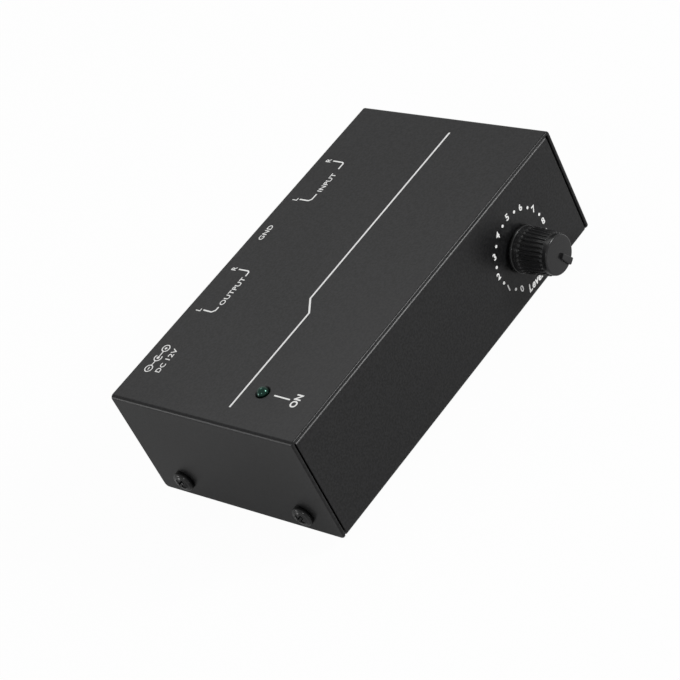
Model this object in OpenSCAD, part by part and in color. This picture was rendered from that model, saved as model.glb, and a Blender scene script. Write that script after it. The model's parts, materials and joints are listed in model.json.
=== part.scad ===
// A small stereo preamplifier for a record player: a folded steel case with a level knob on
// the front panel, a power light on top, and sockets and a ground post on the rear panel.
// Millimetres. X runs along the case, -Y is the front panel, +Z is up, and the origin is on
// the table under the middle of the case.

/* [Case] */
// Length of the case from end to end
case_length = 103; // [103:1:120]
// Depth of the case from front to back
case_depth = 57; // [57:1:62]
// Height of the case without its feet
case_height = 30.3; // [29:0.1:40]
// Thickness of the painted sheet
sheet = 0.9; // [0.8:0.1:0.9]
// Outer radius of every fold
fold_radius = 1; // [1:0.1:1.4]
// Depth of the lip along the top of each panel
lip_depth = 4; // [3:0.5:6]
// Gap between the cover's end walls and the chassis' tabs
seam = 0.2; // [0.15:0.05:0.3]
// Gap between the cover's top and the lips of the panels
lip_seam = 0.1; // [0.1:0.05:0.3]
// Gap between the cover's ends and the edges of the front and rear panels
end_seam = 0.4; // [0.2:0.1:0.6]
// How far the cover stands out past the front and rear panels
overhang = 0.2; // [0.1:0.1:0.3]
// Radius of the cover's bottom corners
corner_radius = 1.2; // [0.5:0.1:2]

/* [Cover screws] */
// Distance of each screw from the middle of the end wall
screw_offset = 19; // [17:0.5:20]
// Height of the screws above the underside of the case
screw_height = 5.2; // [5:0.1:5.6]
// Radius of the screw heads
screw_head_radius = 2.7; // [2.5:0.1:3]
// Height of the screw heads
screw_head_height = 1.9; // [1.6:0.1:2.2]
// Length of the screw shanks
screw_length = 5; // [4:0.5:5]

/* [Feet] */
// Height of each rubber foot
foot_height = 2; // [1.5:0.5:4]
// Radius of each rubber foot
foot_radius = 4; // [3:0.5:5]
// Distance from the case's sides to the middle of each foot
foot_inset = 8.5; // [8:0.5:12]

/* [Level knob] */
// Distance of the knob's axis to the right of the middle
dial_x = 29.4; // [26:0.1:31]
// Height of the knob's axis above the underside of the case
dial_height = 13; // [12.4:0.1:13.3]
// Radius of the ring at the knob's foot
knob_ring_radius = 5.75; // [5.6:0.05:6.2]
// Radius across the ribs at the foot of the knob
knob_rib_radius = 5.6; // [5.5:0.05:6]
// Radius across the ribs at the tip of the knob
knob_tip_radius = 5.15; // [5:0.05:5.4]
// Radius of the knob's flat face
knob_face_radius = 4.5; // [4.2:0.1:4.6]
// Distance from the front panel to the knob's face
knob_reach = 11; // [11:0.5:13]
// Gap between the front panel and the knob
knob_gap = 0.8; // [0.6:0.1:1]
// Number of ribs around the knob
knob_ribs = 30; // [18:1:36]
// Where the pointer rests, counted up from the right-hand side as seen from the front
pointer_angle = -60; // [-60:1:-60]
// Height of the raised pointer
pointer_height = 0.8; // [0.3:0.1:0.8]
// Width of the raised pointer at the rim
pointer_width = 1.8; // [1:0.1:2]

/* [Power light] */
// Distance of the light from the middle along the case
light_x = -40.1; // [-41:0.1:-38]
// Distance of the light from the middle towards the back
light_y = -11; // [-12:0.5:-8]
// Radius of the light's body
light_radius = 1.5; // [1.4:0.05:1.6]
// Height of its dome above the cover
light_rise = 1.3; // [1:0.1:1.6]

/* [Sockets] */
// Place of the output pair along the case
output_x = -14.6; // [-15:0.1:-14]
// Place of the input pair along the case
input_x = 24.4; // [24:0.1:25]
// Place of the ground post along the case
ground_x = 5.2; // [5:0.1:6]
// Place of the supply socket along the case
supply_x = -37.8; // [-38:0.1:-37]
// Distance between the two sockets of a pair
jack_pitch = 14; // [13.5:0.5:14.5]
// Outer radius of a phono socket's metal sleeve
sleeve_radius = 4.15; // [4.1:0.05:4.2]
// How far the sleeves stand out of the rear panel
sleeve_reach = 9; // [8:0.5:10]
// Radius of the hole for the plug's pin
plug_hole_radius = 1.65; // [1.62:0.01:1.7]
// Radius of the supply socket's opening
supply_hole_radius = 3.2; // [3:0.1:3.3]
// Radius of the supply socket's centre pin
supply_pin_radius = 1; // [0.9:0.05:1.25]
// How far the ground post stands out of the rear panel
post_reach = 11.5; // [11.5:0.5:13]

/* [Board] */
// Thickness of the circuit board
board_thickness = 1.6; // [1.2:0.2:1.6]
// Height of the knob's axis above the board
pot_axis_height = 6.5; // [6.4:0.1:6.6]
// Height of the phono sockets' axes above the board
jack_axis_height = 7; // [6.8:0.1:7.2]

/* [Hidden] */
$fn = 48;
slip = 0.05;        // radial clearance of pieces that turn or slide on each other
cut = 1;            // how far a cutting shape runs past the face that it opens
metal = "silver";
plastic = "#1c1c1d";

// The case
floor_z = foot_height;
top_z = floor_z + case_height;
half_x = case_length / 2;
half_y = case_depth / 2;
inner_y = half_y - sheet;
chassis_half_x = half_x - sheet - end_seam;
tab_reach = half_x - sheet - seam;
panel_height = case_height - sheet - lip_seam;
cover_half_y = half_y + overhang;

// The cover's screws and the tabs that they go into
screw_radius = 1.45;
screw_hole_radius = 1.7;
screw_z = floor_z + screw_height;
tab_width = 10;
tab_height = 9.5;
tab_relief = 0.8;   // slot on each side of a tab's fold

// The board, and its supports under the corners that the sockets leave free
dial_z = floor_z + dial_height;
board_top = dial_z - pot_axis_height;
board_bottom = board_top - board_thickness;
board_length = 91;
board_depth = 53;
standoff_radius = 2.8;
standoff_neck_radius = 2.1;
board_screw_length = 4;
standoff_places = [[-41, 8], [-41, -22], [41, -22], [41, 22]];
lead_width = 0.5;
lead_hole_radius = 0.45;
lead_out = 1;       // how far every lead stands out below the board

// The light
led_flange_radius = 1.9;
led_flange_height = 1;
led_length = 5.3;
led_lead_offset = 1.27; // distance from the light's axis to each lead
led_hole_radius = 1.6;
led_base_z = top_z + light_rise - led_length;

// The double potentiometer, drawn from the front panel's inner face
pot_width = 9.8;
pot_top = 5;        // how far its body reaches above the axis
pot_plate = 1;
pot_gang = 4.2;     // distance from one housing to the next
pot_joint = 0.05;   // gap between the two housings
pot_web = 1;        // wall at the back of each housing
pot_cavity_radius = 4.3;
bush_radius = 3.5;
bush_length = 5;
bush_hole_radius = bush_radius + 0.25;
shaft_radius = 3;
core_radius = 1.5;
shaft_length = 10.4;
flat_depth = 1.5;   // cut off the shaft for the knob's grip
flat_start = 5.4;
rotor_radius = 3.3;
rotor_thickness = 1.2;
stop_radius = 3.5;
stop_half_angle = 18;
lug_width = 1.2;
lug_reach = 4.1;
pot_pin_pitch = 2.5;
pot_gangs = [0, 1];

// The knob
knob_skirt = 0.5;   // height of the ring at its foot
knob_rib_depth = 0.3;
knob_rib_width = 0.6;
knob_rib_start = 2.9;
knob_rib_end = 9.7;
knob_collar = 10.6; // where the rounding towards the face starts
knob_well_radius = bush_radius + 0.4;
knob_well_depth = 4.7;

// Phono sockets
jack_z = board_top + jack_axis_height;
output_left_x = output_x - jack_pitch / 2;
output_right_x = output_x + jack_pitch / 2;
input_left_x = input_x - jack_pitch / 2;
input_right_x = input_x + jack_pitch / 2;
jack_axes = [output_left_x, output_right_x, input_left_x, input_right_x];
jack_height = 13;
jack_depth = 10;
jack_side = 6.4;    // from the outer socket's axis to the housing's side
jack_front = inner_y - 0.1;
jack_rear = jack_front - jack_depth;
collar_radius = 4.9;
collar_hole_radius = collar_radius + 0.15;
collar_end = half_y + 0.4;
sleeve_wall = 0.55;
sleeve_step = 0.2;  // the sleeve is this much thinner inside the housing, so that it has a shoulder
sleeve_start = jack_front - 6;
sleeve_end = half_y + sleeve_reach;
insulator_radius = sleeve_radius - sleeve_wall - slip;
insulator_start = jack_front - 8.4;
insulator_end = sleeve_end - 0.5;
contact_wall = 0.6;
contact_radius = plug_hole_radius + contact_wall;
contact_end = insulator_start + 8;
contact_slit = 0.5;
tail_width = 1.2;
tail_thickness = 0.5;
contact_tail_y = insulator_start + tail_thickness / 2;
sleeve_tail_y = sleeve_start + tail_thickness / 2;

// Supply socket
supply_z = board_top + 6.5;
supply_width = 9;
supply_height = 11;
supply_face = half_y + 0.4;
supply_depth = 14.2;
supply_rear = supply_face - supply_depth;
supply_hole_depth = 9.5;
supply_hole_end = supply_face - supply_hole_depth;
supply_margin = 0.2;
supply_opening = [supply_width + 2 * supply_margin, supply_height + 2 * supply_margin];
supply_spring_width = 2.6;
supply_spring_drop = supply_hole_radius + 0.5;
supply_spring_y = supply_hole_end + 1.5;
supply_tail_y = supply_rear - tail_thickness / 2;

// Ground post, drawn from the rear panel's inner face
post_radius = 2;
post_z = jack_z;
post_hole_radius = 2.2;
lug_thickness = 0.5;
lug_radius = 3.9;
hex_nut_height = 2.2;
hex_nut_corner = 4.04;
washer_gap = 0.05;
washer_height = 0.8;
washer_radius = 4.5;
thumb_nut_height = 5;
thumb_nut_collar = 1.2;
thumb_nut_radius = 4.75;
thumb_nut_neck = 3.5;
knurls = 36;
knurl_depth = 0.25;
washer_y = half_y + hex_nut_height + washer_gap;
thumb_nut_y = washer_y + washer_height + washer_gap;
wire_radius = 0.6;
wire_sides = 8;
wire_steps = 8;
wire_lift = 0.25;   // height above the board at which the insulation starts
wire_rise = 1.6;    // height of the lug's tip above the board
wire_pad_y = 21;
wire_end_y = inner_y - lug_thickness - slip / 2;

// Small parts on the board: middles of their footprints
resistor_places = [
    for (x = [-19, -7, 5, 17, 29]) for (y = [0.8, 4.2]) [x, y],
    for (x = [-28, -14, 0, 14]) [x, -15]
];
resistor_pitch = 10.16;
diode_place = [-38.5, -2];
supply_capacitor_places = [[-30, -3], [-30, 7]];
coupling_capacitor_places = [for (x = jack_axes) [x, 11]];
film_capacitor_places = [for (x = [-20, -15, 12.5, 17.5]) [x, -6.5]];
ceramic_capacitor_places = [for (x = [-6.5, 9.8]) [x, -6.5]];
op_amp_place = [2, -6.5];
dip_pitch = 2.54;
dip_row = 7.62;
dip_pins = [for (column = [-1.5 : 1 : 1.5]) for (row = [-0.5, 0.5]) [column * dip_pitch, row * dip_row]];

// Where leads go through the board
lead_places = [
    for (p = resistor_places) for (side = [-0.5, 0.5]) [p[0] + side * resistor_pitch, p[1]],
    for (side = [-0.5, 0.5]) [diode_place[0], diode_place[1] + side * resistor_pitch],
    for (p = supply_capacitor_places) for (side = [-1.75, 1.75]) [p[0] + side, p[1]],
    for (p = coupling_capacitor_places) for (side = [-1, 1]) [p[0] + side, p[1]],
    for (p = film_capacitor_places) for (side = [-2.54, 2.54]) [p[0], p[1] + side],
    for (p = ceramic_capacitor_places) for (side = [-1.27, 1.27]) [p[0], p[1] + side],
    for (p = dip_pins) op_amp_place + p,
    for (side = [-led_lead_offset, led_lead_offset]) [light_x + side, light_y],
    [ground_x, wire_pad_y]
];
tail_places = [
    for (x = jack_axes) for (y = [contact_tail_y, sleeve_tail_y]) [x, y],
    for (y = [supply_tail_y, supply_spring_y]) [supply_x, y],
    for (gang = pot_gangs) for (pin = [-1, 0, 1]) [dial_x + pin * pot_pin_pitch, pot_pin_y(gang)]
];

function pot_gang_z(gang) = -pot_plate - gang * pot_gang;
function pot_pin_y(gang) = -inner_y - pot_gang_z(gang) + pot_gang / 2;
function wire_point(t) = [
    wire_pad_y + (wire_end_y - wire_pad_y) * (1 - cos(90 * t)),
    board_top + wire_lift + (wire_rise - wire_lift) * sin(90 * t)
];

// ---- shapes that several pieces share

// A quarter of a folded sheet's bend, seen from its end
module fold_2d() {
    intersection() {
        difference() {
            circle(r = fold_radius);
            circle(r = fold_radius - sheet);
        }
        square(fold_radius);
    }
}

// A wall folded up from the chassis floor, facing away from the middle
module folded_wall(facing, reach, wall_length, height) {
    rotate([0, 0, facing])
    translate([reach, 0, floor_z])
    rotate([90, 0, 0])
    linear_extrude(height = wall_length, center = true) {
        translate([-sheet, fold_radius]) square([sheet, height - fold_radius]);
        translate([-fold_radius, fold_radius]) mirror([0, 1]) fold_2d();
    }
}

// The front or rear panel, with a lip folded in at the top for the cover to lie on
module folded_panel(facing) {
    folded_wall(facing, half_y, 2 * chassis_half_x, panel_height - fold_radius);
    rotate([0, 0, facing])
    translate([half_y, 0, floor_z + panel_height])
    rotate([90, 0, 0])
    linear_extrude(height = 2 * chassis_half_x, center = true) {
        translate([-fold_radius, -fold_radius]) fold_2d();
        translate([-fold_radius - lip_depth, -sheet]) square([lip_depth, sheet]);
    }
}

// Draws its children from the rear panel's side, with their Z running out of the case
module rearward(x, y, z) {
    translate([x, y, z]) rotate([-90, 0, 0]) children();
}

// Draws its children about the knob's axis, with their Z running out of the front panel
module at_dial(y) {
    translate([dial_x, y, dial_z]) rotate([90, 0, 0]) children();
}

module tube(outer, inner, height) {
    difference() {
        cylinder(r = outer, h = height);
        translate([0, 0, -cut]) cylinder(r = inner, h = height + 2 * cut);
    }
}

// A cross-recess screw with a domed head above z = 0 and its shank below
module pan_screw(shank_radius, shank_length, head_radius, head_height) {
    crown = 0.55;
    slot = [1.25 * head_radius, 0.28 * head_radius, head_height];
    dome = [
        for (a = [0 : 15 : 90])
            [head_radius * (1 - crown + crown * cos(a)), head_height * (1 - crown + crown * sin(a))]
    ];
    difference() {
        union() {
            rotate_extrude() polygon(concat([[0, 0], [head_radius, 0]], dome, [[0, head_height]]));
            translate([0, 0, -shank_length]) cylinder(r = shank_radius, h = shank_length + head_height / 4);
        }
        for (turn = [0, 90]) rotate([0, 0, turn]) translate([0, 0, head_height]) cube(slot, center = true);
    }
}

// A square lead that goes down through the board from height z
module lead(x, y, z) {
    bottom = board_bottom - lead_out;
    translate([x - lead_width / 2, y - lead_width / 2, bottom]) cube([lead_width, lead_width, z - bottom]);
}

// A flat tail that goes down through the board from height z
module tail(x, y, z) {
    bottom = board_bottom - lead_out;
    translate([x - tail_width / 2, y - tail_thickness / 2, bottom])
        cube([tail_width, tail_thickness, z - bottom]);
}

// What is cut away to round a corner at the origin, whose sides run towards -X and +Y
module round_corner(radius, height) {
    linear_extrude(height = height, center = true) difference() {
        translate([-radius, -cut]) square([radius + cut, radius + cut]);
        translate([-radius, radius]) circle(r = radius);
    }
}

// ---- case

module top_cover() {
    color("#3a3a3b")
    difference() {
        translate([0, 0, floor_z]) rotate([90, 0, 0])
        linear_extrude(height = 2 * cover_half_y, center = true) {
            translate([-half_x + fold_radius, case_height - sheet])
                square([case_length - 2 * fold_radius, sheet]);
            for (side = [0, 1]) mirror([side, 0]) {
                translate([half_x - sheet, 0]) square([sheet, case_height - fold_radius]);
                translate([half_x - fold_radius, case_height - fold_radius]) fold_2d();
            }
        }
        for (x = [-half_x, half_x]) for (side = [0, 1]) mirror([0, side, 0])
            translate([x, cover_half_y, floor_z]) rotate([90, 0, 90]) round_corner(corner_radius, 4 * sheet);
        for (x = [-half_x, half_x]) for (y = [-screw_offset, screw_offset])
            translate([x, y, screw_z]) rotate([0, 90, 0])
                cylinder(r = screw_hole_radius, h = 4 * sheet, center = true);
        translate([light_x, light_y, top_z]) cylinder(r = led_hole_radius, h = 4 * sheet, center = true);
    }
}

module chassis_floor() {
    difference() {
        translate([-chassis_half_x, -half_y + fold_radius, floor_z])
            cube([2 * chassis_half_x, case_depth - 2 * fold_radius, sheet]);
        for (side = [-1, 1]) for (y = [-screw_offset, screw_offset])
            translate([side * tab_reach, y, floor_z])
                cube([2 * fold_radius, tab_width + 2 * tab_relief, 4 * sheet], center = true);
    }
}

module base_chassis() {
    color("#2f2f30")
    difference() {
        union() {
            chassis_floor();
            for (facing = [90, 270]) folded_panel(facing);
            for (facing = [0, 180]) for (y = [-screw_offset, screw_offset])
                translate([0, y, 0]) folded_wall(facing, tab_reach, tab_width, tab_height);
        }
        for (side = [-1, 1]) for (y = [-screw_offset, screw_offset])
            translate([side * (tab_reach - sheet / 2), y, screw_z]) rotate([0, 90, 0])
                cylinder(r = screw_radius + slip, h = 4 * sheet, center = true);
        for (p = standoff_places)
            translate([p[0], p[1], floor_z])
                cylinder(r = standoff_neck_radius + slip / 2, h = 4 * sheet, center = true);
        translate([dial_x, -half_y, dial_z]) rotate([90, 0, 0])
            cylinder(r = bush_hole_radius, h = 4 * sheet, center = true);
        for (x = jack_axes) rearward(x, half_y, jack_z)
            cylinder(r = collar_hole_radius, h = 4 * sheet, center = true);
        rearward(ground_x, half_y, post_z) cylinder(r = post_hole_radius, h = 4 * sheet, center = true);
        translate([supply_x, half_y, board_top + supply_height / 2])
            cube([supply_opening[0], 4 * sheet, supply_opening[1]], center = true);
    }
}

module cover_screws() {
    color("#202021")
    for (side = [-1, 1]) for (y = [-screw_offset, screw_offset])
        translate([side * half_x, y, screw_z]) rotate([0, side * 90, 0]) rotate([0, 0, 45])
            pan_screw(screw_radius, screw_length, screw_head_radius, screw_head_height);
}

module rubber_feet() {
    soft_edge = 0.4;
    foot_outline = [
        [0, 0], [foot_radius - soft_edge, 0], [foot_radius, soft_edge],
        [foot_radius, foot_height], [0, foot_height]
    ];
    color("#141414")
    for (x = [foot_inset - half_x, half_x - foot_inset]) for (y = [foot_inset - half_y, half_y - foot_inset])
        translate([x, y, 0]) rotate_extrude() polygon(foot_outline);
}

// ---- level control

module knob_ribs_solid() {
    rib_tip = 0.4;      // length over which a rib rises and falls
    root = knob_rib_radius - 2 * knob_rib_depth;
    intersection() {
        rotate_extrude() polygon([
            [0, knob_rib_start], [root, knob_rib_start], [knob_rib_radius, knob_rib_start + rib_tip],
            [knob_tip_radius, knob_rib_end - rib_tip], [knob_tip_radius - 2 * knob_rib_depth, knob_rib_end],
            [0, knob_rib_end]
        ]);
        for (i = [0 : knob_ribs - 1]) rotate([0, 0, i * 360 / knob_ribs])
            translate([shaft_radius, -knob_rib_width / 2, 0])
                cube([knob_ring_radius, knob_rib_width, knob_reach]);
    }
}

module knob() {
    collar_radius = knob_tip_radius - knob_rib_depth;
    pointer_start = 0.4;
    pointer_root = 0.75 * pointer_width;
    color(plastic)
    at_dial(-half_y) rotate([0, 0, pointer_angle])
    difference() {
        union() {
            rotate_extrude() polygon([
                [0, knob_gap], [knob_ring_radius, knob_gap], [knob_ring_radius, knob_gap + knob_skirt],
                [knob_rib_radius - knob_rib_depth, knob_gap + 1.4 * knob_skirt],
                [collar_radius, knob_rib_end], [collar_radius, knob_collar],
                [knob_face_radius, knob_reach], [0, knob_reach]
            ]);
            knob_ribs_solid();
            translate([0, 0, knob_reach - pointer_height])
            linear_extrude(height = 2 * pointer_height) polygon([
                [pointer_start, -pointer_root / 2], [knob_face_radius, -pointer_width / 2],
                [knob_face_radius, pointer_width / 2], [pointer_start, pointer_root / 2]
            ]);
        }
        cylinder(r = knob_well_radius, h = knob_well_depth);
        difference() {
            cylinder(r = shaft_radius + slip / 2, h = shaft_length - sheet + slip);
            translate([shaft_radius - flat_depth + slip / 2, -knob_ring_radius, knob_well_depth - slip])
                cube([flat_depth + cut, 2 * knob_ring_radius, knob_reach]);
        }
    }
}

module pot_shaft() {
    flange_radius = 3.2;
    flange_height = 0.7;
    gap = 0.15;
    flange_z = -pot_plate - gap;
    core_z = 2 * gap - pot_plate - 2 * pot_gang;
    color(metal)
    at_dial(-inner_y) rotate([0, 0, pointer_angle])
    difference() {
        union() {
            translate([0, 0, flange_z]) cylinder(r = shaft_radius, h = shaft_length - flange_z);
            translate([0, 0, flange_z - flange_height]) cylinder(r = flange_radius, h = flange_height);
            translate([0, 0, core_z]) cylinder(r = core_radius, h = flange_z - core_z);
        }
        translate([shaft_radius - flat_depth, -shaft_radius - cut, flat_start])
            cube([flat_depth + cut, 2 * (shaft_radius + cut), shaft_length]);
    }
}

// Both discs turn with the shaft, and a lug on each meets the stop in its housing
module pot_rotors() {
    color("#3b3f46")
    for (gang = pot_gangs)
        at_dial(-inner_y) rotate([0, 0, pointer_angle]) translate([0, 0, pot_rotor_z(gang)])
        difference() {
            union() {
                cylinder(r = rotor_radius, h = rotor_thickness);
                translate([0, -lug_width / 2, 0]) cube([lug_reach, lug_width, rotor_thickness]);
            }
            translate([0, 0, -cut]) cylinder(r = core_radius + slip / 2, h = rotor_thickness + 2 * cut);
        }
}

function pot_rotor_z(gang) = pot_gang_z(gang) - pot_gang + pot_web + 0.6;

module pot_wipers() {
    wiper_thickness = 0.2;
    color("gold")
    for (gang = pot_gangs)
        at_dial(-inner_y) translate([0, 0, pot_rotor_z(gang) - wiper_thickness])
            tube(rotor_radius - 0.3, core_radius + 0.8, wiper_thickness);
}

module pot_tracks() {
    track_thickness = 0.25;
    color("#222222")
    for (gang = pot_gangs)
        at_dial(-inner_y) translate([0, 0, pot_gang_z(gang) - pot_gang + pot_web])
            tube(rotor_radius, core_radius + 0.5, track_thickness);
}

module pot_housings() {
    body_height = pot_top + pot_axis_height;
    color("#26352c")
    for (gang = pot_gangs) at_dial(-inner_y) translate([0, 0, pot_gang_z(gang) - pot_gang]) {
        difference() {
            translate([-pot_width / 2, -pot_axis_height, 0])
                cube([pot_width, body_height, pot_gang - pot_joint]);
            translate([0, 0, pot_web]) cylinder(r = pot_cavity_radius, h = pot_gang);
            translate([0, 0, -cut]) cylinder(r = core_radius + 2 * slip, h = pot_gang);
            for (pin = [-1, 0, 1])
                translate([pin * pot_pin_pitch, -pot_axis_height, pot_gang / 2])
                    cube([tail_width, 2, tail_thickness], center = true);
        }
        intersection() {
            translate([0, 0, pot_web - slip])
                tube(pot_cavity_radius + slip, stop_radius, pot_gang - pot_joint - pot_web + slip);
            translate([0, 0, pot_web - slip]) linear_extrude(height = pot_gang) polygon([
                [0, 0],
                for (side = [-1, 1])
                    2 * pot_width * [sin(side * stop_half_angle), -cos(stop_half_angle)]
            ]);
        }
    }
}

module pot_bushing() {
    color(metal)
    at_dial(-inner_y) difference() {
        union() {
            translate([-pot_width / 2, -pot_axis_height, -pot_plate])
                cube([pot_width, pot_top + pot_axis_height, pot_plate]);
            cylinder(r = bush_radius, h = bush_length);
        }
        translate([0, 0, -pot_plate - cut])
            cylinder(r = shaft_radius + slip, h = pot_plate + bush_length + 2 * cut);
    }
}

// A strap round the back of both housings, with a leg through the board on each side
module pot_frame() {
    strap = 0.4;
    strap_width = 5;
    strap_depth = pot_plate + 2 * pot_gang;
    color("#b8b9bb")
    at_dial(-inner_y) {
        translate([-pot_width / 2 - strap, -strap_width / 2, -strap_depth - strap])
            cube([pot_width + 2 * strap, strap_width, strap]);
        for (side = [-1, 1]) translate([side * (pot_width + strap) / 2, 0, -strap_depth / 2])
            cube([strap, strap_width, strap_depth], center = true);
    }
}

module pot_terminals() {
    color(metal)
    for (gang = pot_gangs) for (pin = [-1, 0, 1])
        tail(dial_x + pin * pot_pin_pitch, pot_pin_y(gang), board_top + 0.9);
}

// ---- power light

module led_lens() {
    color("#0f5a3c")
    translate([light_x, light_y, led_base_z]) rotate_extrude() {
        square([led_flange_radius, led_flange_height]);
        square([light_radius, led_length - light_radius]);
        translate([0, led_length - light_radius]) intersection() {
            circle(r = light_radius);
            square(light_radius);
        }
    }
}

module led_spacer() {
    spacer_height = led_base_z - board_top;
    color("#e8e6df")
    translate([light_x, light_y, board_top]) difference() {
        cylinder(r = led_flange_radius, h = spacer_height);
        for (side = [-led_lead_offset, led_lead_offset])
            translate([side, 0, spacer_height / 2])
                cube([lead_width + 2 * slip, lead_width + 2 * slip, spacer_height + cut], center = true);
    }
}

module led_leads() {
    color(metal)
    for (side = [-led_lead_offset, led_lead_offset]) lead(light_x + side, light_y, led_base_z);
}

// ---- phono sockets

module jack_housing(middle) {
    slot_width = tail_width + 2 * slip;
    color(plastic)
    difference() {
        union() {
            translate([middle - jack_pitch / 2 - jack_side, jack_rear, board_top])
                cube([jack_pitch + 2 * jack_side, jack_depth, jack_height]);
            for (x = [middle - jack_pitch / 2, middle + jack_pitch / 2])
                rearward(x, jack_rear + collar_radius, jack_z)
                    cylinder(r = collar_radius, h = collar_end - jack_rear - collar_radius);
        }
        for (x = [middle - jack_pitch / 2, middle + jack_pitch / 2]) {
            rearward(x, sleeve_start, jack_z)
                cylinder(r = sleeve_radius - sleeve_step + slip, h = jack_depth);
            rearward(x, insulator_start, jack_z)
                cylinder(r = insulator_radius + slip, h = jack_depth);
            for (slot = [[jack_rear - cut, contact_tail_y], [sleeve_start - slip, sleeve_tail_y]])
                translate([x - slot_width / 2, slot[0], board_top - cut])
                    cube([slot_width, slot[1] + tail_thickness / 2 + slip - slot[0], jack_axis_height + cut]);
        }
    }
}

module output_jack_housing() { jack_housing(output_x); }
module input_jack_housing() { jack_housing(input_x); }

module jack_shell(x) {
    color(metal) {
        rearward(x, sleeve_start, jack_z)
            tube(sleeve_radius - sleeve_step, sleeve_radius - sleeve_wall, collar_end - sleeve_start);
        rearward(x, collar_end, jack_z)
            tube(sleeve_radius, sleeve_radius - sleeve_wall, sleeve_end - collar_end);
        tail(x, sleeve_tail_y, jack_z - sleeve_radius + sleeve_wall - (sleeve_wall - sleeve_step) / 3);
    }
}

module output_left_shell() { jack_shell(output_left_x); }
module output_right_shell() { jack_shell(output_right_x); }
module input_left_shell() { jack_shell(input_left_x); }
module input_right_shell() { jack_shell(input_right_x); }

// The coloured core of a socket, with a hole for the plug's pin and a well for the contact
module jack_insulator(x) {
    difference() {
        rearward(x, insulator_start + tail_thickness, jack_z)
            cylinder(r = insulator_radius, h = insulator_end - insulator_start - tail_thickness);
        rearward(x, insulator_start - cut, jack_z)
            cylinder(r = plug_hole_radius, h = insulator_end - insulator_start + 2 * cut);
        rearward(x, insulator_start - cut, jack_z)
            cylinder(r = contact_radius + slip, h = contact_end - insulator_start + cut);
    }
}

module output_left_insulator() { color("white") jack_insulator(output_left_x); }
module output_right_insulator() { color("#c01818") jack_insulator(output_right_x); }
module input_left_insulator() { color("white") jack_insulator(input_left_x); }
module input_right_insulator() { color("#c01818") jack_insulator(input_right_x); }

// A slit tube that grips the plug's pin, closed at the back, with its tail
module jack_contact(x) {
    color("#d8b45a") {
        difference() {
            rearward(x, insulator_start, jack_z)
                cylinder(r = contact_radius, h = contact_end - insulator_start);
            rearward(x, insulator_start + tail_thickness, jack_z)
                cylinder(r = plug_hole_radius, h = contact_end - insulator_start);
            translate([x, contact_end, jack_z])
                cube([4 * contact_radius, contact_end - insulator_start, contact_slit], center = true);
        }
        tail(x, contact_tail_y, jack_z);
    }
}

module output_left_contact() { jack_contact(output_left_x); }
module output_right_contact() { jack_contact(output_right_x); }
module input_left_contact() { jack_contact(input_left_x); }
module input_right_contact() { jack_contact(input_right_x); }

// ---- supply socket

module dc_jack_housing() {
    spring_bay = supply_spring_width + 0.4;
    color(plastic)
    difference() {
        translate([supply_x - supply_width / 2, supply_rear, board_top])
            cube([supply_width, supply_depth, supply_height]);
        rearward(supply_x, supply_hole_end, supply_z) cylinder(r = supply_hole_radius, h = supply_depth);
        rearward(supply_x, supply_rear - cut, supply_z)
            cylinder(r = supply_pin_radius + slip, h = supply_depth);
        translate([supply_x - spring_bay / 2, supply_hole_end + 0.5, board_top - cut])
            cube([spring_bay, supply_hole_depth - 3, supply_z - supply_hole_radius / 2 - board_top + cut]);
    }
}

// The rear end is riveted flat against the tail behind the housing
module dc_jack_pin() {
    recess = 0.8;
    tip_height = 0.6;
    color(metal) {
        rearward(supply_x, supply_rear - tail_thickness, supply_z)
            cylinder(r = supply_pin_radius, h = supply_depth + tail_thickness - recess - tip_height);
        rearward(supply_x, supply_face - recess - tip_height, supply_z)
            cylinder(r1 = supply_pin_radius, r2 = supply_pin_radius / 2, h = tip_height);
        tail(supply_x, supply_tail_y, supply_z);
    }
}

module dc_jack_spring() {
    spring_length = 5.5;
    spring_z = supply_z - supply_spring_drop;
    corner = [supply_spring_width, tail_thickness, tail_thickness] / 2;
    color("#c9a24a") {
        translate([supply_x, supply_spring_y, spring_z] - corner)
            cube([supply_spring_width, spring_length, tail_thickness]);
        tail(supply_x, supply_spring_y, spring_z);
    }
}

// ---- ground post

module ground_screw() {
    color(metal)
    translate([ground_x, inner_y - lug_thickness, post_z]) rotate([90, 0, 0])
        pan_screw(post_radius, half_y + post_reach - inner_y + lug_thickness, 3.6, 2.3);
}

module ground_lug() {
    width = 2.6;
    reach = post_z - board_top - wire_rise + width / 2;
    color("#d9d4c4")
    difference() {
        union() {
            rearward(ground_x, inner_y - lug_thickness, post_z) cylinder(r = lug_radius, h = lug_thickness);
            translate([ground_x - width / 2, inner_y - lug_thickness, post_z - reach])
                cube([width, lug_thickness, reach]);
        }
        rearward(ground_x, inner_y - lug_thickness - cut, post_z)
            cylinder(r = post_radius + slip, h = 2 * cut + lug_thickness);
    }
}

module ground_hex_nut() {
    color(metal)
    rearward(ground_x, half_y, post_z) difference() {
        cylinder(r = hex_nut_corner, h = hex_nut_height, $fn = 6);
        translate([0, 0, -cut]) cylinder(r = post_radius + slip / 2, h = hex_nut_height + 2 * cut);
    }
}

module ground_washer() {
    color(metal)
    rearward(ground_x, washer_y, post_z) tube(washer_radius, post_radius + 2 * slip, washer_height);
}

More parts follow.
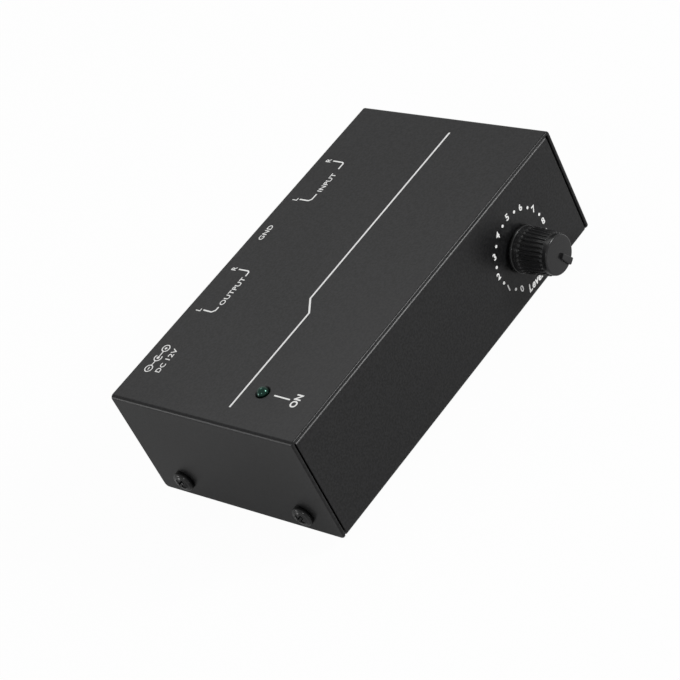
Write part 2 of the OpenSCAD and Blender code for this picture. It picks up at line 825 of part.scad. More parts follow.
// A collar that presses on the washer, a plain core and a knurled band round it
module ground_thumb_nut() {
    bevel = 0.4;
    grip = thumb_nut_height - thumb_nut_collar;
    core = thumb_nut_radius - 2 * knurl_depth;
    tooth = 360 / knurls;
    knurl_outline = [
        for (i = [0 : knurls - 1]) for (half = [0, 1])
            let (a = (i + half / 2) * tooth)
            (thumb_nut_radius - half * knurl_depth) * [cos(a), sin(a)]
    ];
    color(metal)
    rearward(ground_x, thumb_nut_y, post_z) difference() {
        union() {
            cylinder(r = thumb_nut_neck, h = thumb_nut_height);
            translate([0, 0, thumb_nut_collar]) cylinder(r = core, h = grip);
            translate([0, 0, thumb_nut_collar + bevel])
                linear_extrude(height = grip - 2 * bevel) polygon(knurl_outline);
        }
        translate([0, 0, -cut]) cylinder(r = post_radius + slip, h = thumb_nut_height + 2 * cut);
    }
}

// From the board, where its bare end goes through, to the lug's tip
module ground_wire() {
    centres = [for (i = [0 : wire_steps]) wire_point(i / wire_steps)];
    slopes = [
        for (i = [0 : wire_steps])
            let (a = centres[max(i - 1, 0)], b = centres[min(i + 1, wire_steps)], d = b - a) d / norm(d)
    ];
    rings = [
        for (i = [0 : wire_steps]) for (j = [0 : wire_sides - 1])
            let (a = 360 * j / wire_sides)
            [
                ground_x + wire_radius * cos(a),
                centres[i][0] - wire_radius * sin(a) * slopes[i][1],
                centres[i][1] + wire_radius * sin(a) * slopes[i][0]
            ]
    ];
    sides = [
        for (i = [0 : wire_steps - 1]) for (j = [0 : wire_sides - 1])
            let (next = (j + 1) % wire_sides)
            [i * wire_sides + j, i * wire_sides + next, (i + 1) * wire_sides + next, (i + 1) * wire_sides + j]
    ];
    first = [for (j = [wire_sides - 1 : -1 : 0]) j];
    last = [for (j = [0 : wire_sides - 1]) wire_steps * wire_sides + j];
    color("#1d7a3a") {
        polyhedron(points = rings, faces = concat(sides, [first, last]));
        lead(ground_x, wire_pad_y, board_top + wire_radius);
    }
}

// ---- board and what stands on it

module main_board() {
    hole_depth = board_thickness + 2 * cut;
    color("#1f5c38")
    difference() {
        translate([-board_length / 2, -board_depth / 2, board_bottom])
            cube([board_length, board_depth, board_thickness]);
        for (p = standoff_places)
            translate([p[0], p[1], board_bottom - cut]) cylinder(r = screw_hole_radius, h = hole_depth);
        for (p = lead_places)
            translate([p[0], p[1], board_bottom - cut]) cylinder(r = lead_hole_radius, h = hole_depth);
        for (p = tail_places)
            translate([p[0], p[1], board_top])
                cube([tail_width + 2 * slip, tail_thickness + 2 * slip, 2 * hole_depth], center = true);
    }
}

// Each is clinched into the floor, with its neck flush underneath
module board_standoffs() {
    color("#c8b273")
    for (p = standoff_places) translate([p[0], p[1], floor_z]) difference() {
        union() {
            cylinder(r = standoff_neck_radius, h = 2 * sheet);
            translate([0, 0, sheet]) cylinder(r = standoff_radius, h = board_bottom - floor_z - sheet);
        }
        translate([0, 0, -cut]) cylinder(r = screw_radius + slip, h = board_bottom);
    }
}

module board_screws() {
    color(metal)
    for (p = standoff_places) translate([p[0], p[1], board_top])
        pan_screw(screw_radius, board_screw_length, screw_head_radius, screw_head_height);
}

module op_amp_socket() {
    height = 4;
    body = [10.16, 9.8, height];
    window = [6, 4.6, 3 * height];
    color("#232324") {
        translate([op_amp_place[0], op_amp_place[1], board_top + height / 2]) difference() {
            cube(body, center = true);
            cube(window, center = true);
        }
        for (p = dip_pins) lead(op_amp_place[0] + p[0], op_amp_place[1] + p[1], board_top + height / 2);
    }
}

module op_amp() {
    seat = board_top + 4;
    body = [9.4, 6.4, 3.4];
    leg = [0.5, 0.3, 3.2];
    color("#17181a")
    translate([op_amp_place[0], op_amp_place[1], seat]) {
        difference() {
            translate([0, 0, body[2] / 2 + 0.5]) cube(body, center = true);
            translate([-body[0] / 2, 0, body[2]]) cylinder(r = 0.9, h = 2);
        }
        for (p = dip_pins)
            translate([p[0], sign(p[1]) * (body[1] + leg[1]) / 2, leg[2] / 2]) cube(leg, center = true);
    }
}

// An upright round capacitor with its rolled groove near the bottom
module round_capacitor(place, radius, height, pitch) {
    groove = 0.35;
    groove_z = 2;
    translate([place[0], place[1], board_top]) rotate_extrude() polygon([
        [0, 0], [radius, 0], [radius, groove_z - groove], [radius - groove, groove_z],
        [radius, groove_z + groove], [radius, height - groove], [radius - groove, height], [0, height]
    ]);
    for (side = [-pitch / 2, pitch / 2]) lead(place[0] + side, place[1], board_top + groove);
}

module supply_capacitors() {
    color("#1d2433") for (p = supply_capacitor_places) round_capacitor(p, 4, 12, 3.5);
}

module coupling_capacitors() {
    color("#1f3a6b") for (p = coupling_capacitor_places) round_capacitor(p, 2.5, 11, 2);
}

module film_capacitors() {
    body = [3, 7.2, 7.5];
    color("#a0331f")
    for (p = film_capacitor_places) {
        translate([p[0], p[1], board_top + body[2] / 2]) cube(body, center = true);
        for (side = [-2.54, 2.54]) lead(p[0], p[1] + side, board_top + lead_width);
    }
}

module ceramic_capacitors() {
    disc_radius = 2.3;
    thickness = 1.4;
    color("#c98a2c")
    for (p = ceramic_capacitor_places) {
        translate([p[0] - thickness / 2, p[1], board_top + 1.2 * disc_radius]) rotate([0, 90, 0])
            cylinder(r = disc_radius, h = thickness);
        for (side = [-1.27, 1.27]) lead(p[0], p[1] + side, board_top + disc_radius);
    }
}

// A part lying on the board between two leads that are bent down at its ends
module axial_part(place, turn, body_radius, body_length) {
    height = body_radius + 0.2;
    translate([place[0], place[1], board_top + height]) rotate([0, 0, turn]) {
        rotate([0, 90, 0]) cylinder(r = body_radius, h = body_length, center = true);
        cube([resistor_pitch + lead_width, lead_width, lead_width], center = true);
    }
    for (reach = [-resistor_pitch / 2, resistor_pitch / 2])
        lead(place[0] + reach * cos(turn), place[1] + reach * sin(turn), board_top + height);
}

module resistors() {
    color("#5b8fb0") for (p = resistor_places) axial_part(p, 0, 1.15, 6.3);
}

module protection_diode() {
    color("#202022") axial_part(diode_place, 90, 1.35, 5.2);
}

top_cover();
base_chassis();
cover_screws();
rubber_feet();
knob();
pot_shaft();
pot_rotors();
pot_wipers();
pot_tracks();
pot_housings();
pot_bushing();
pot_frame();
pot_terminals();
led_lens();
led_spacer();
led_leads();
output_jack_housing();
input_jack_housing();
output_left_shell();
output_right_shell();
input_left_shell();
input_right_shell();
output_left_insulator();
output_right_insulator();
input_left_insulator();
input_right_insulator();
output_left_contact();
output_right_contact();
input_left_contact();
input_right_contact();
dc_jack_housing();
dc_jack_pin();
dc_jack_spring();
ground_screw();
ground_lug();
ground_hex_nut();
ground_washer();
ground_thumb_nut();
ground_wire();
main_board();
board_standoffs();
board_screws();
op_amp_socket();
op_amp();
supply_capacitors();
coupling_capacitors();
film_capacitors();
ceramic_capacitors();
resistors();
protection_diode();
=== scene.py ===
import json
from math import pi, radians

import bmesh
import bpy
import numpy as np
from mathutils import Matrix, Vector

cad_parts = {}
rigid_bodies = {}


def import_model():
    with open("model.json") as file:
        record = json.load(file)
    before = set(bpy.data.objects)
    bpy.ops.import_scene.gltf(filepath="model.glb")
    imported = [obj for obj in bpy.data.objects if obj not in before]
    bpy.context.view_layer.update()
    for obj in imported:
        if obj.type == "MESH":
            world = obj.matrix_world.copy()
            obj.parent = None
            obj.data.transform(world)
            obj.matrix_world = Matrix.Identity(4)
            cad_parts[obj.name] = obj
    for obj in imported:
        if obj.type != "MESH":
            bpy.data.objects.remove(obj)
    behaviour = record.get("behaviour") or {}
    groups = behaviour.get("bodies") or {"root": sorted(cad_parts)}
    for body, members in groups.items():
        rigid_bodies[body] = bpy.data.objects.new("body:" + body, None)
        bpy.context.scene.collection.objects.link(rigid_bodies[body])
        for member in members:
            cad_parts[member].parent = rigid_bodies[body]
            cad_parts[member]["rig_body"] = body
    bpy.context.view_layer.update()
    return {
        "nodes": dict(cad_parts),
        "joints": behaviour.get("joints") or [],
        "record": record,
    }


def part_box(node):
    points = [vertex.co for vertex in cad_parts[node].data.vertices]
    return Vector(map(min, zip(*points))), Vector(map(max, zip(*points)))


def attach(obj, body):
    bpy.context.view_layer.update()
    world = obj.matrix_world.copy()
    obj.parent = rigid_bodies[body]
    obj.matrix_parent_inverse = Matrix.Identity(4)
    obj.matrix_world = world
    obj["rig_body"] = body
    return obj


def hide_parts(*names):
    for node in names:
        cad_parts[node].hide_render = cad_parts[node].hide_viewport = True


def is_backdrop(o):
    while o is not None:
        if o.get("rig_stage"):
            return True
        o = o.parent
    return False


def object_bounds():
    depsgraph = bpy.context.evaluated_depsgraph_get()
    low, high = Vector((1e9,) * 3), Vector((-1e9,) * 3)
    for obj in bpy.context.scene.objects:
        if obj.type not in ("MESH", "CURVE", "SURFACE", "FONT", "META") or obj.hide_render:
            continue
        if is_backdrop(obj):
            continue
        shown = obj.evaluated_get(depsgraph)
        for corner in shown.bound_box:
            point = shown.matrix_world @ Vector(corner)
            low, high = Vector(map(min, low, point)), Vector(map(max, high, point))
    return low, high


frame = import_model()
cadNodes = frame["nodes"]
slotOf = {row["node"]: row["material_slot"] for row in frame["record"]["subparts"]}
bodyOf = {name: node["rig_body"] for name, node in cadNodes.items()}
mm = 0.001
print("frame loaded with", len(cadNodes), "nodes")


def cornersOf(node):  # lowest and highest corner of a node, in millimetres
    low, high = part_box(node)
    return np.array(low) / mm, np.array(high) / mm


def middleOf(node):
    return sum(cornersOf(node)) / 2


view = {  # the camera, in metres, with its lens and sensor in millimetres
    "position": (-0.254944, -0.357772, 0.334314),
    "forward": (0.45779, 0.66314, -0.59218),
    "up": (0.6851, 0.16139, 0.71035),
    "lens": 123.3,
    "sensor": 36,
    "nearest": 0.01,
}


def addCamera():
    lens = bpy.data.cameras.new("camera")
    lens.lens = view["lens"]
    lens.sensor_width = view["sensor"]
    lens.clip_start = view["nearest"]
    back = -Vector(view["forward"]).normalized()
    right = Vector(view["up"]).cross(back).normalized()
    camera = bpy.data.objects.new("camera", lens)
    turn = Matrix((right, back.cross(right), back)).transposed().to_4x4()
    camera.matrix_world = Matrix.Translation(view["position"]) @ turn
    bpy.context.scene.collection.objects.link(camera)
    bpy.context.scene.camera = camera


addCamera()
bpy.context.scene.view_settings.view_transform = "Standard"
print("camera placed")


class Wire:  # one output of a node; sums with it add Math nodes
    def __init__(self, finish, socket):
        self.finish = finish
        self.socket = socket

    def maths(self, operation, first, second=0.0):
        return self.finish.add("ShaderNodeMath", {"operation": operation}, {0: first, 1: second})

    def __add__(self, other):
        return self.maths("ADD", self, other)

    def __sub__(self, other):
        return self.maths("SUBTRACT", self, other)

    def __mul__(self, other):
        return self.maths("MULTIPLY", self, other)

    def __truediv__(self, other):
        return self.maths("DIVIDE", self, other)

    def __radd__(self, other):
        return self.maths("ADD", other, self)

    def __rsub__(self, other):
        return self.maths("SUBTRACT", other, self)

    def __rmul__(self, other):
        return self.maths("MULTIPLY", other, self)

    def largest(self, other):
        return self.maths("MAXIMUM", self, other)

    def swing(self):  # a noise, which lies round 0.5, moved to lie round 0
        return self - 0.5

    def step(self, low, high):  # 0 below low, 1 above high, smooth between
        limits = {0: self, 1: low, 2: high}
        return self.finish.add("ShaderNodeMapRange", {"interpolation_type": "SMOOTHSTEP"}, limits)


class Graph:  # the nodes of a material or of the world
    def __init__(self, tree):
        self.tree = tree

    def add(self, kind, settings, wires, output=0):
        made = self.tree.nodes.new(kind)
        for name, value in settings.items():
            setattr(made, name, value)
        for key, value in wires.items():
            self.join(value, made.inputs[key])
        return Wire(self, made.outputs[output])

    def join(self, value, socket):
        if isinstance(value, Wire):
            self.tree.links.new(value.socket, socket)
        else:
            socket.default_value = value

    def seen(self):  # 1 for rays straight from the camera, and 1 for rays off metal or through glass
        camera = self.add("ShaderNodeLightPath", {}, {}, "Is Camera Ray")
        glossy = self.add("ShaderNodeLightPath", {}, {}, "Is Glossy Ray")
        through = self.add("ShaderNodeLightPath", {}, {}, "Is Transmission Ray")
        return camera, glossy.largest(through)


class Finish(Graph):  # a material and its shader
    def __init__(self, name, fixed):
        self.material = bpy.data.materials.new(name)
        self.material.use_nodes = True
        super().__init__(self.material.node_tree)
        self.shader = self.tree.nodes["Principled BSDF"]
        for socket, value in fixed.items():
            self.shader.inputs[socket].default_value = value
        self.place = self.add("ShaderNodeTexCoord", {}, {}, "Object")

    def noise(self, scale, detail=2.0, stretch=None):  # scale is in grains per metre
        place = self.place
        if stretch:
            place = self.add("ShaderNodeMapping", {}, {"Vector": place, "Scale": stretch})
        return self.add("ShaderNodeTexNoise", {}, {"Vector": place, "Scale": scale, "Detail": detail})

    def along(self, axis):  # one of the place's three numbers
        return self.add("ShaderNodeSeparateXYZ", {}, {0: self.place}, axis)

    def mix(self, share, first, second):
        colours = {0: share, 6: rgba(first), 7: rgba(second)}
        return self.add("ShaderNodeMix", {"data_type": "RGBA"}, colours, 2)

    def show(self, colour, roughness, relief, height):  # height is in millimetres
        self.join(colour, self.shader.inputs["Base Color"])
        self.join(roughness, self.shader.inputs["Roughness"])
        bump = {"Height": relief, "Strength": 1.0, "Distance": height * mm}
        self.join(self.add("ShaderNodeBump", {}, bump), self.shader.inputs["Normal"])
        return self.material


def rgba(colour):
    return (*colour, 1.0)


def lighter(colour, factor):
    return tuple(min(1.0, part * factor) for part in colour)


# in these dictionaries a noise is its grains per metre, its detail and its stretch, and two
# numbers in brackets are the noise values between which one tone gives way to the other

powder = {
    "colour": (0.0085, 0.0085, 0.0089),
    "contrast": 0.6,  # of the grain's tone
    "roughness": 0.33,
    "gloss": 0.3,
    "relief": 0.014,
    "grain": (1900.0, 3.0),
    "grainTones": (0.3, 0.7),
    "grainRoughness": 0.1,
    "cloud": (45.0, 2.0),
    "cloudRoughness": 0.05,
}


def powderCoat(name):  # fine pebbled paint: two noises, one for the grain and one for slow drift
    finish = Finish(name, {"Specular IOR Level": powder["gloss"]})
    grain = finish.noise(*powder["grain"])
    cloud = finish.noise(*powder["cloud"])
    rough = powder["roughness"] + powder["grainRoughness"] * grain.swing()
    rough = rough + powder["cloudRoughness"] * cloud.swing()
    dark, pale = (lighter(powder["colour"], 1 + side * powder["contrast"]) for side in (-1, 1))
    tone = finish.mix(grain.step(*powder["grainTones"]), dark, pale)
    return finish.show(tone, rough, grain, powder["relief"])


plastics = {  # colour, roughness, shine of the surface, height of its grain
    "black_screws": ((0.002, 0.002, 0.0021), 0.2, 0.5, 0.002),
    "foot_rubber": ((0.012, 0.012, 0.012), 0.72, 0.3, 0.01),
    "knob_plastic": ((0.014, 0.014, 0.0144), 0.24, 0.38, 0.003),
    "housing_plastic": ((0.013, 0.013, 0.0135), 0.4, 0.5, 0.004),
    "white_plastic": ((0.8, 0.8, 0.77), 0.32, 0.5, 0.002),
    "red_plastic": ((0.5, 0.012, 0.012), 0.32, 0.5, 0.002),
    "wire_green": ((0.02, 0.2, 0.06), 0.4, 0.5, 0.002),
    "phenolic_brown": ((0.11, 0.06, 0.032), 0.55, 0.4, 0.006),
    "film_red": ((0.33, 0.035, 0.014), 0.25, 0.5, 0.01),
    "ceramic_ochre": ((0.55, 0.27, 0.045), 0.42, 0.5, 0.012),
}
plasticWear = {
    "drift": (160.0, 3.0),
    "driftTones": (0.86, 1.14),  # darkest and palest, as shares of the colour
    "driftRoughness": 0.09,
    "driftRelief": 0.5,
    "grain": (3200.0, 2.0),
    "grainRoughness": 0.04,
    "scuffs": (700.0, 4.0, (1.0, 1.0, 0.15)),
    "scuffed": (0.62, 0.72),
    "scuffRoughness": 0.06,
}


def mouldedPlastic(name, colour, roughness, gloss, relief):  # a drift in tone and shine over a fine grain
    finish = Finish(name, {"Specular IOR Level": gloss})
    drift = finish.noise(*plasticWear["drift"])
    grain = finish.noise(*plasticWear["grain"])
    scuffs = finish.noise(*plasticWear["scuffs"]).step(*plasticWear["scuffed"])
    dark, pale = (lighter(colour, share) for share in plasticWear["driftTones"])
    rough = roughness + plasticWear["driftRoughness"] * drift.swing()
    rough = rough + plasticWear["scuffRoughness"] * scuffs + plasticWear["grainRoughness"] * grain.swing()
    pebbles = grain + plasticWear["driftRelief"] * drift
    return finish.show(finish.mix(drift, dark, pale), rough, pebbles, relief)


metals = {  # colour, roughness, depth of the fine turning marks
    "bright_metal": ((0.78, 0.76, 0.72), 0.2, 0.0012),
    "plain_steel": ((0.56, 0.56, 0.55), 0.36, 0.002),
    "contact_brass": ((0.78, 0.55, 0.22), 0.3, 0.0015),
}
metalWear = {
    "marks": (900.0, 3.0, (0.2, 6.0, 0.2)),
    "markRoughness": 0.06,
    "patches": (260.0, 3.0),
    "dulled": (0.45, 0.75),
    "dullTone": 0.86,
    "dullRoughness": 0.12,
}


def platedMetal(name, colour, roughness, relief):  # fine marks along the cut, dulled in patches
    finish = Finish(name, {"Metallic": 1.0})
    marks = finish.noise(*metalWear["marks"])
    dull = finish.noise(*metalWear["patches"]).step(*metalWear["dulled"])
    tone = finish.mix(dull, colour, lighter(colour, metalWear["dullTone"]))
    rough = roughness + metalWear["dullRoughness"] * dull + metalWear["markRoughness"] * marks.swing()
    return finish.show(tone, rough, marks, relief)


lens = {
    "colour": (0.0003, 0.007, 0.004),
    # painted shade: the darker green given to the lens where it sits below the cover's top
    "deep": (0.0002, 0.004, 0.002),
    "shadeEnds": (-0.5, 1.0),  # the painted shade fades out from below the cover's top to above it, in millimetres
    "roughness": 0.1,
    "gloss": 0.5,
    "glossTint": (0.2, 1.0, 0.7),
    "coat": 0.4,
    "coatRoughness": 0.09,
    "drift": (420.0, 2.0),
    "driftRoughness": 0.05,
    "relief": 0.004,
}


def greenLens(name):  # dark green epoxy, with painted shade: darker below the cover's top, where the case hides it
    finish = Finish(name, {
        "Specular IOR Level": lens["gloss"],
        "Specular Tint": rgba(lens["glossTint"]),
        "Coat Weight": lens["coat"],
        "Coat Roughness": lens["coatRoughness"],
    })
    drift = finish.noise(*lens["drift"])
    top = cornersOf("top_cover")[1][2]
    # painted shade mask: 0 below the cover's top and 1 above it, so the hidden part of the lens takes the
    # darker green
    depth = finish.along("Z").step(*((top + end) * mm for end in lens["shadeEnds"]))
    rough = lens["roughness"] + lens["driftRoughness"] * drift
    return finish.show(finish.mix(depth, lens["deep"], lens["colour"]), rough, drift, lens["relief"])


board = {
    "mask": (0.012, 0.1, 0.04),
    "copper": (0.03, 0.19, 0.075),
    "pitch": 2.54,  # the copper strips repeat every 2 pi of this
    "waveRate": 20,  # of the wave node
    "bend": 1.6,
    "stripEdge": (0.42, 0.5),
    "breaks": (130.0, 0.0),
    "breakEdge": (0.47, 0.49),
    "weave": (2400.0, 2.0),
    "weaveRoughness": 0.1,
    "weaveRelief": 0.1,
    "roughness": 0.3,
    "gloss": 0.5,
    "coat": 0.3,
    "relief": 0.03,
}


def boardLacquer(name):  # green lacquer over copper strips, which show paler and stand proud
    finish = Finish(name, {"Specular IOR Level": board["gloss"], "Coat Weight": board["coat"]})
    scale = 1 / (board["waveRate"] * board["pitch"] * mm)
    stripes = {"Vector": finish.place, "Scale": scale, "Distortion": board["bend"], "Detail": 0.0}
    strips = finish.add("ShaderNodeTexWave", {"bands_direction": "Y"}, stripes, 1).step(*board["stripEdge"])
    copper = strips * finish.noise(*board["breaks"]).step(*board["breakEdge"])
    weave = finish.noise(*board["weave"])
    tone = finish.mix(copper, board["mask"], board["copper"])
    rough = board["roughness"] + board["weaveRoughness"] * weave
    return finish.show(tone, rough, copper + board["weaveRelief"] * weave, board["relief"])


sleeve = {
    "colour": (0.014, 0.03, 0.115),
    "stripe": (0.42, 0.45, 0.48),
    "stripeEdge": (0.86, 0.88),  # how far a point faces left where the stripe starts
    "roughness": 0.28,
    "gloss": 0.5,
    "drift": (300.0, 2.0),
    "driftRoughness": 0.08,
    "relief": 0.006,
}


def capacitorSleeve(name):  # blue sleeve with a paler band along each part's left side
    finish = Finish(name, {"Specular IOR Level": sleeve["gloss"]})
    facing = finish.add("ShaderNodeNewGeometry", {}, {}, "Normal")
    side = finish.add("ShaderNodeSeparateXYZ", {}, {0: facing}, "X")
    stripe = (0.0 - side).step(*sleeve["stripeEdge"])
    drift = finish.noise(*sleeve["drift"])
    rough = sleeve["roughness"] + sleeve["driftRoughness"] * drift
    return finish.show(finish.mix(stripe, sleeve["colour"], sleeve["stripe"]), rough, drift, sleeve["relief"])


bands = {
    "body": (0.09, 0.24, 0.36),
    "dark": (0.05, 0.018, 0.01),
    "pitch": 12.0,  # of the resistors, in millimetres
    "first": -19.0,
    "width": 0.85,
    "bandEdge": (0.5, 0.6),
    "reach": (2.2, 2.3),  # the bands end between these distances from a resistor's middle
    "roughness": 0.35,
    "gloss": 0.5,
    "drift": (400.0, 2.0),
    "driftRoughness": 0.1,
    "relief": 0.01,
}


def resistorLacquer(name):  # pale blue lacquer with dark bands that repeat with the parts' pitch
    finish = Finish(name, {"Specular IOR Level": bands["gloss"]})
    pitch = bands["pitch"]
    inside = finish.along("X") / mm - (bands["first"] - pitch / 2)
    along = inside.maths("FLOORED_MODULO", inside, pitch) - pitch / 2
    ripple = along.maths("SINE", along * (pi / bands["width"]))
    near = 1.0 - along.maths("ABSOLUTE", along).step(*bands["reach"])
    drift = finish.noise(*bands["drift"])
    tone = finish.mix(ripple.step(*bands["bandEdge"]) * near, bands["body"], bands["dark"])
    rough = bands["roughness"] + bands["driftRoughness"] * drift
    return finish.show(tone, rough, drift, bands["relief"])


ink = {
    "colour": (0.93, 0.93, 0.92),
    "worn": (0.8, 0.8, 0.79),
    "roughness": 0.5,
    "gloss": 0.4,
    "spots": (3000.0, 3.0),
    "spotEdge": (0.55, 0.75),
    "spotRoughness": 0.1,
    "relief": 0.003,
}


def whiteInk(name):  # screen-printed ink, a little thinner in spots
    finish = Finish(name, {"Specular IOR Level": ink["gloss"]})
    spots = finish.noise(*ink["spots"])
    tone = finish.mix(spots.step(*ink["spotEdge"]), ink["colour"], ink["worn"])
    return finish.show(tone, ink["roughness"] + ink["spotRoughness"] * spots, spots, ink["relief"])


finishes = {
    "case_paint": powderCoat("case_paint"),
    "light_green": greenLens("light_green"),
    "board_green": boardLacquer("board_green"),
    "capacitor_sleeve": capacitorSleeve("capacitor_sleeve"),
    "resistor_blue": resistorLacquer("resistor_blue"),
    "white_ink": whiteInk("white_ink"),
}
for name, look in plastics.items():
    finishes[name] = mouldedPlastic(name, *look)
for name, look in metals.items():
    finishes[name] = platedMetal(name, *look)
print("finishes made:", len(finishes))


# shapes are made from grids of points, all in millimetres

surface = {
    "weld": 1e-7,  # points nearer than this, in metres, are one point
    "flat": 0.5,  # faces that meet at less than this many degrees are one face
    "bevelSteps": 3,
    "sharp": 30,  # edges of more degrees than this are rounded
    "straight": 0.9999,  # cosine past which a corner of a path counts as straight
    "sideShare": 0.495,  # of a path's side, the most that one rounded corner takes
}


def joinGrid(points, rowsClose, columnsClose):
    # each point makes a four-sided face with the next in its row, in its column and across
    rows, columns = points.shape[:2]
    index = np.arange(rows * columns).reshape(rows, columns)
    if rowsClose:
        index = np.vstack([index, index[:1]])
    if columnsClose:
        index = np.hstack([index, index[:, :1]])
    corners = [index[:-1, :-1], index[1:, :-1], index[1:, 1:], index[:-1, 1:]]
    return np.stack(corners, -1).reshape(-1, 4)


def addPiece(name, mesh, node, slot, stands):
    piece = bpy.data.objects.new(name, mesh)
    mesh.materials.append(finishes[slot])
    bpy.context.scene.collection.objects.link(piece)
    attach(piece, bodyOf[node])
    if stands:
        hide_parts(*stands)
    return piece


def weldedMesh(name, points, faces, sharp, flatten=False):
    mesh = bpy.data.meshes.new(name)
    mesh.from_pydata(points.tolist(), [], faces)
    build = bmesh.new()
    build.from_mesh(mesh)
    bmesh.ops.remove_doubles(build, verts=build.verts, dist=surface["weld"])
    if flatten:
        flat = radians(surface["flat"])
        bmesh.ops.dissolve_limit(build, angle_limit=flat, verts=build.verts, edges=build.edges)
    bmesh.ops.recalc_face_normals(build, faces=build.faces)
    build.to_mesh(mesh)
    build.free()
    mesh.polygons.foreach_set("use_smooth", np.ones(len(mesh.polygons), bool))
    mesh.set_sharp_from_angle(angle=radians(sharp))
    return mesh


def gridPiece(name, grids, node, slot, stands=(), sharp=40):
    # each grid is its points, and whether its rows and its columns close on themselves
    starts = np.cumsum([0] + [grid[0].size // 3 for grid in grids])
    faces = np.vstack([joinGrid(*grid) + start for grid, start in zip(grids, starts)])
    points = np.vstack([grid[0].reshape(-1, 3) for grid in grids]) * mm
    return addPiece(name, weldedMesh(name, points, faces.tolist(), sharp), node, slot, stands)


def dressedPiece(name, node, edge):
    # the node's own surface, with its triangles joined into whole faces and its edges rounded
    source = cadNodes[node].data
    source.calc_loop_triangles()
    points = np.empty(len(source.vertices) * 3)
    source.vertices.foreach_get("co", points)
    faces = np.empty(len(source.loop_triangles) * 3, np.int32)
    source.loop_triangles.foreach_get("vertices", faces)
    sharp = surface["sharp"]
    mesh = weldedMesh(name, points.reshape(-1, 3), faces.reshape(-1, 3).tolist(), sharp, flatten=True)
    piece = addPiece(name, mesh, node, slotOf[node], [node])
    bevel = piece.modifiers.new("rounded edges", "BEVEL")
    bevel.width = edge * mm
    bevel.segments = surface["bevelSteps"]
    bevel.limit_method = "ANGLE"
    bevel.angle_limit = radians(sharp)
    bevel.harden_normals = True
    bevel.use_clamp_overlap = False


def roundedPath(corners, soft, closed=False, steps=6):
    # every corner becomes an arc that touches both of its sides: the arc's middle lies on the
    # corner's bisector, and its points turn evenly from one touching point to the other
    corners = np.asarray(corners, float)
    inner = corners if closed else corners[1:-1]
    before = (np.roll(corners, 1, 0) if closed else corners[:-2]) - inner
    after = (np.roll(corners, -1, 0) if closed else corners[2:]) - inner
    lengthBefore = np.linalg.norm(before, axis=1, keepdims=True)
    lengthAfter = np.linalg.norm(after, axis=1, keepdims=True)
    before = before / lengthBefore
    after = after / lengthAfter
    facing = (before * after).sum(1, keepdims=True)
    half = np.arccos(np.clip(facing, -surface["straight"], surface["straight"])) / 2
    room = np.minimum(lengthBefore, lengthAfter) * surface["sideShare"]
    reach = np.minimum(room, np.reshape(soft, (-1, 1)) / np.tan(half))
    radius = reach * np.tan(half)
    bisector = before + after
    middle = inner + bisector / np.linalg.norm(bisector, axis=1, keepdims=True) * radius / np.sin(half)
    turn = pi - 2 * half[:, None]
    share = np.linspace(0, 1, steps)[None, :, None]
    first = (inner + before * reach - middle)[:, None]
    last = (inner + after * reach - middle)[:, None]
    arcs = (np.sin((1 - share) * turn) * first + np.sin(share * turn) * last) / np.sin(turn) + middle[:, None]
    arcs = arcs.reshape(-1, 2)
    return arcs if closed else np.vstack([corners[:1], arcs, corners[-1:]])


def fullTurn(count):  # evenly spaced angles, as a row
    return np.linspace(0, 2 * pi, count, endpoint=False)[None, :]


def turned(profile, centre, axis, segments=96, close=False):
    # a profile of (radius, distance) carried round an axis:
    # centre + distance * axis + radius * (cos a * across + sin a * beside)
    axis = np.asarray(axis, float)
    across = np.array([1.0, 0, 0])
    beside = np.cross(axis, across)
    turn = np.arange(segments)[:, None] * 2 * pi / segments
    rim = np.cos(turn) * across + np.sin(turn) * beside
    radius, distance = profile[:, 0, None, None], profile[:, 1, None, None]
    return np.asarray(centre, float) + distance * axis + radius * rim, close, True


def smooth(share):  # 0 below 0, 1 above 1, with level ends
    share = np.clip(share, 0, 1)
    return share * share * (3 - 2 * share)


case = {"coverEdge": 0.4, "chassisEdge": 0.2, "socketEdge": 0.2}


def dressCase():
    for name, node, edge in (
        ("folded_cover", "top_cover", "coverEdge"),
        ("folded_chassis", "base_chassis", "chassisEdge"),
        ("output_socket_block", "output_jack_housing", "socketEdge"),
        ("input_socket_block", "input_jack_housing", "socketEdge"),
        ("supply_socket_block", "dc_jack_housing", "socketEdge"),
    ):
        dressedPiece(name, node, case[edge])


dressCase()
coverLow, coverHigh = cornersOf("top_cover")
chassisLow, chassisHigh = cornersOf("base_chassis")
caseFront, caseBack = chassisLow[1], chassisHigh[1]
print("case dressed")


coverScrew = {
    "headRadius": 2.7,
    "headHeight": 1.9,
    "rim": 0.1,  # height at which the head's side starts
    "undercut": 0.08,
    "shankRadius": 1.45,
    "shankLength": 5.0,
    "rootGap": 0.02,
    "tipLength": 0.5,
    "tipTaper": 0.45,
    "capRadius": 1.95,
    "capRise": 0.6,  # how far the cap bulges
    "fullness": 0.6,  # of the round fall to the rim: 1 is an ellipse, less is squarer
    "crossReach": 1.3,
    "crossWidth": 0.8,
    "crossDepth": 1.3,
    "crossTaper": 0.25,  # share of the depth that is lost at the end of an arm
    "slope": 0.35,  # width over which the cross falls away
    "capRings": 44,
    "fallRings": 14,
    "points": 160,
}


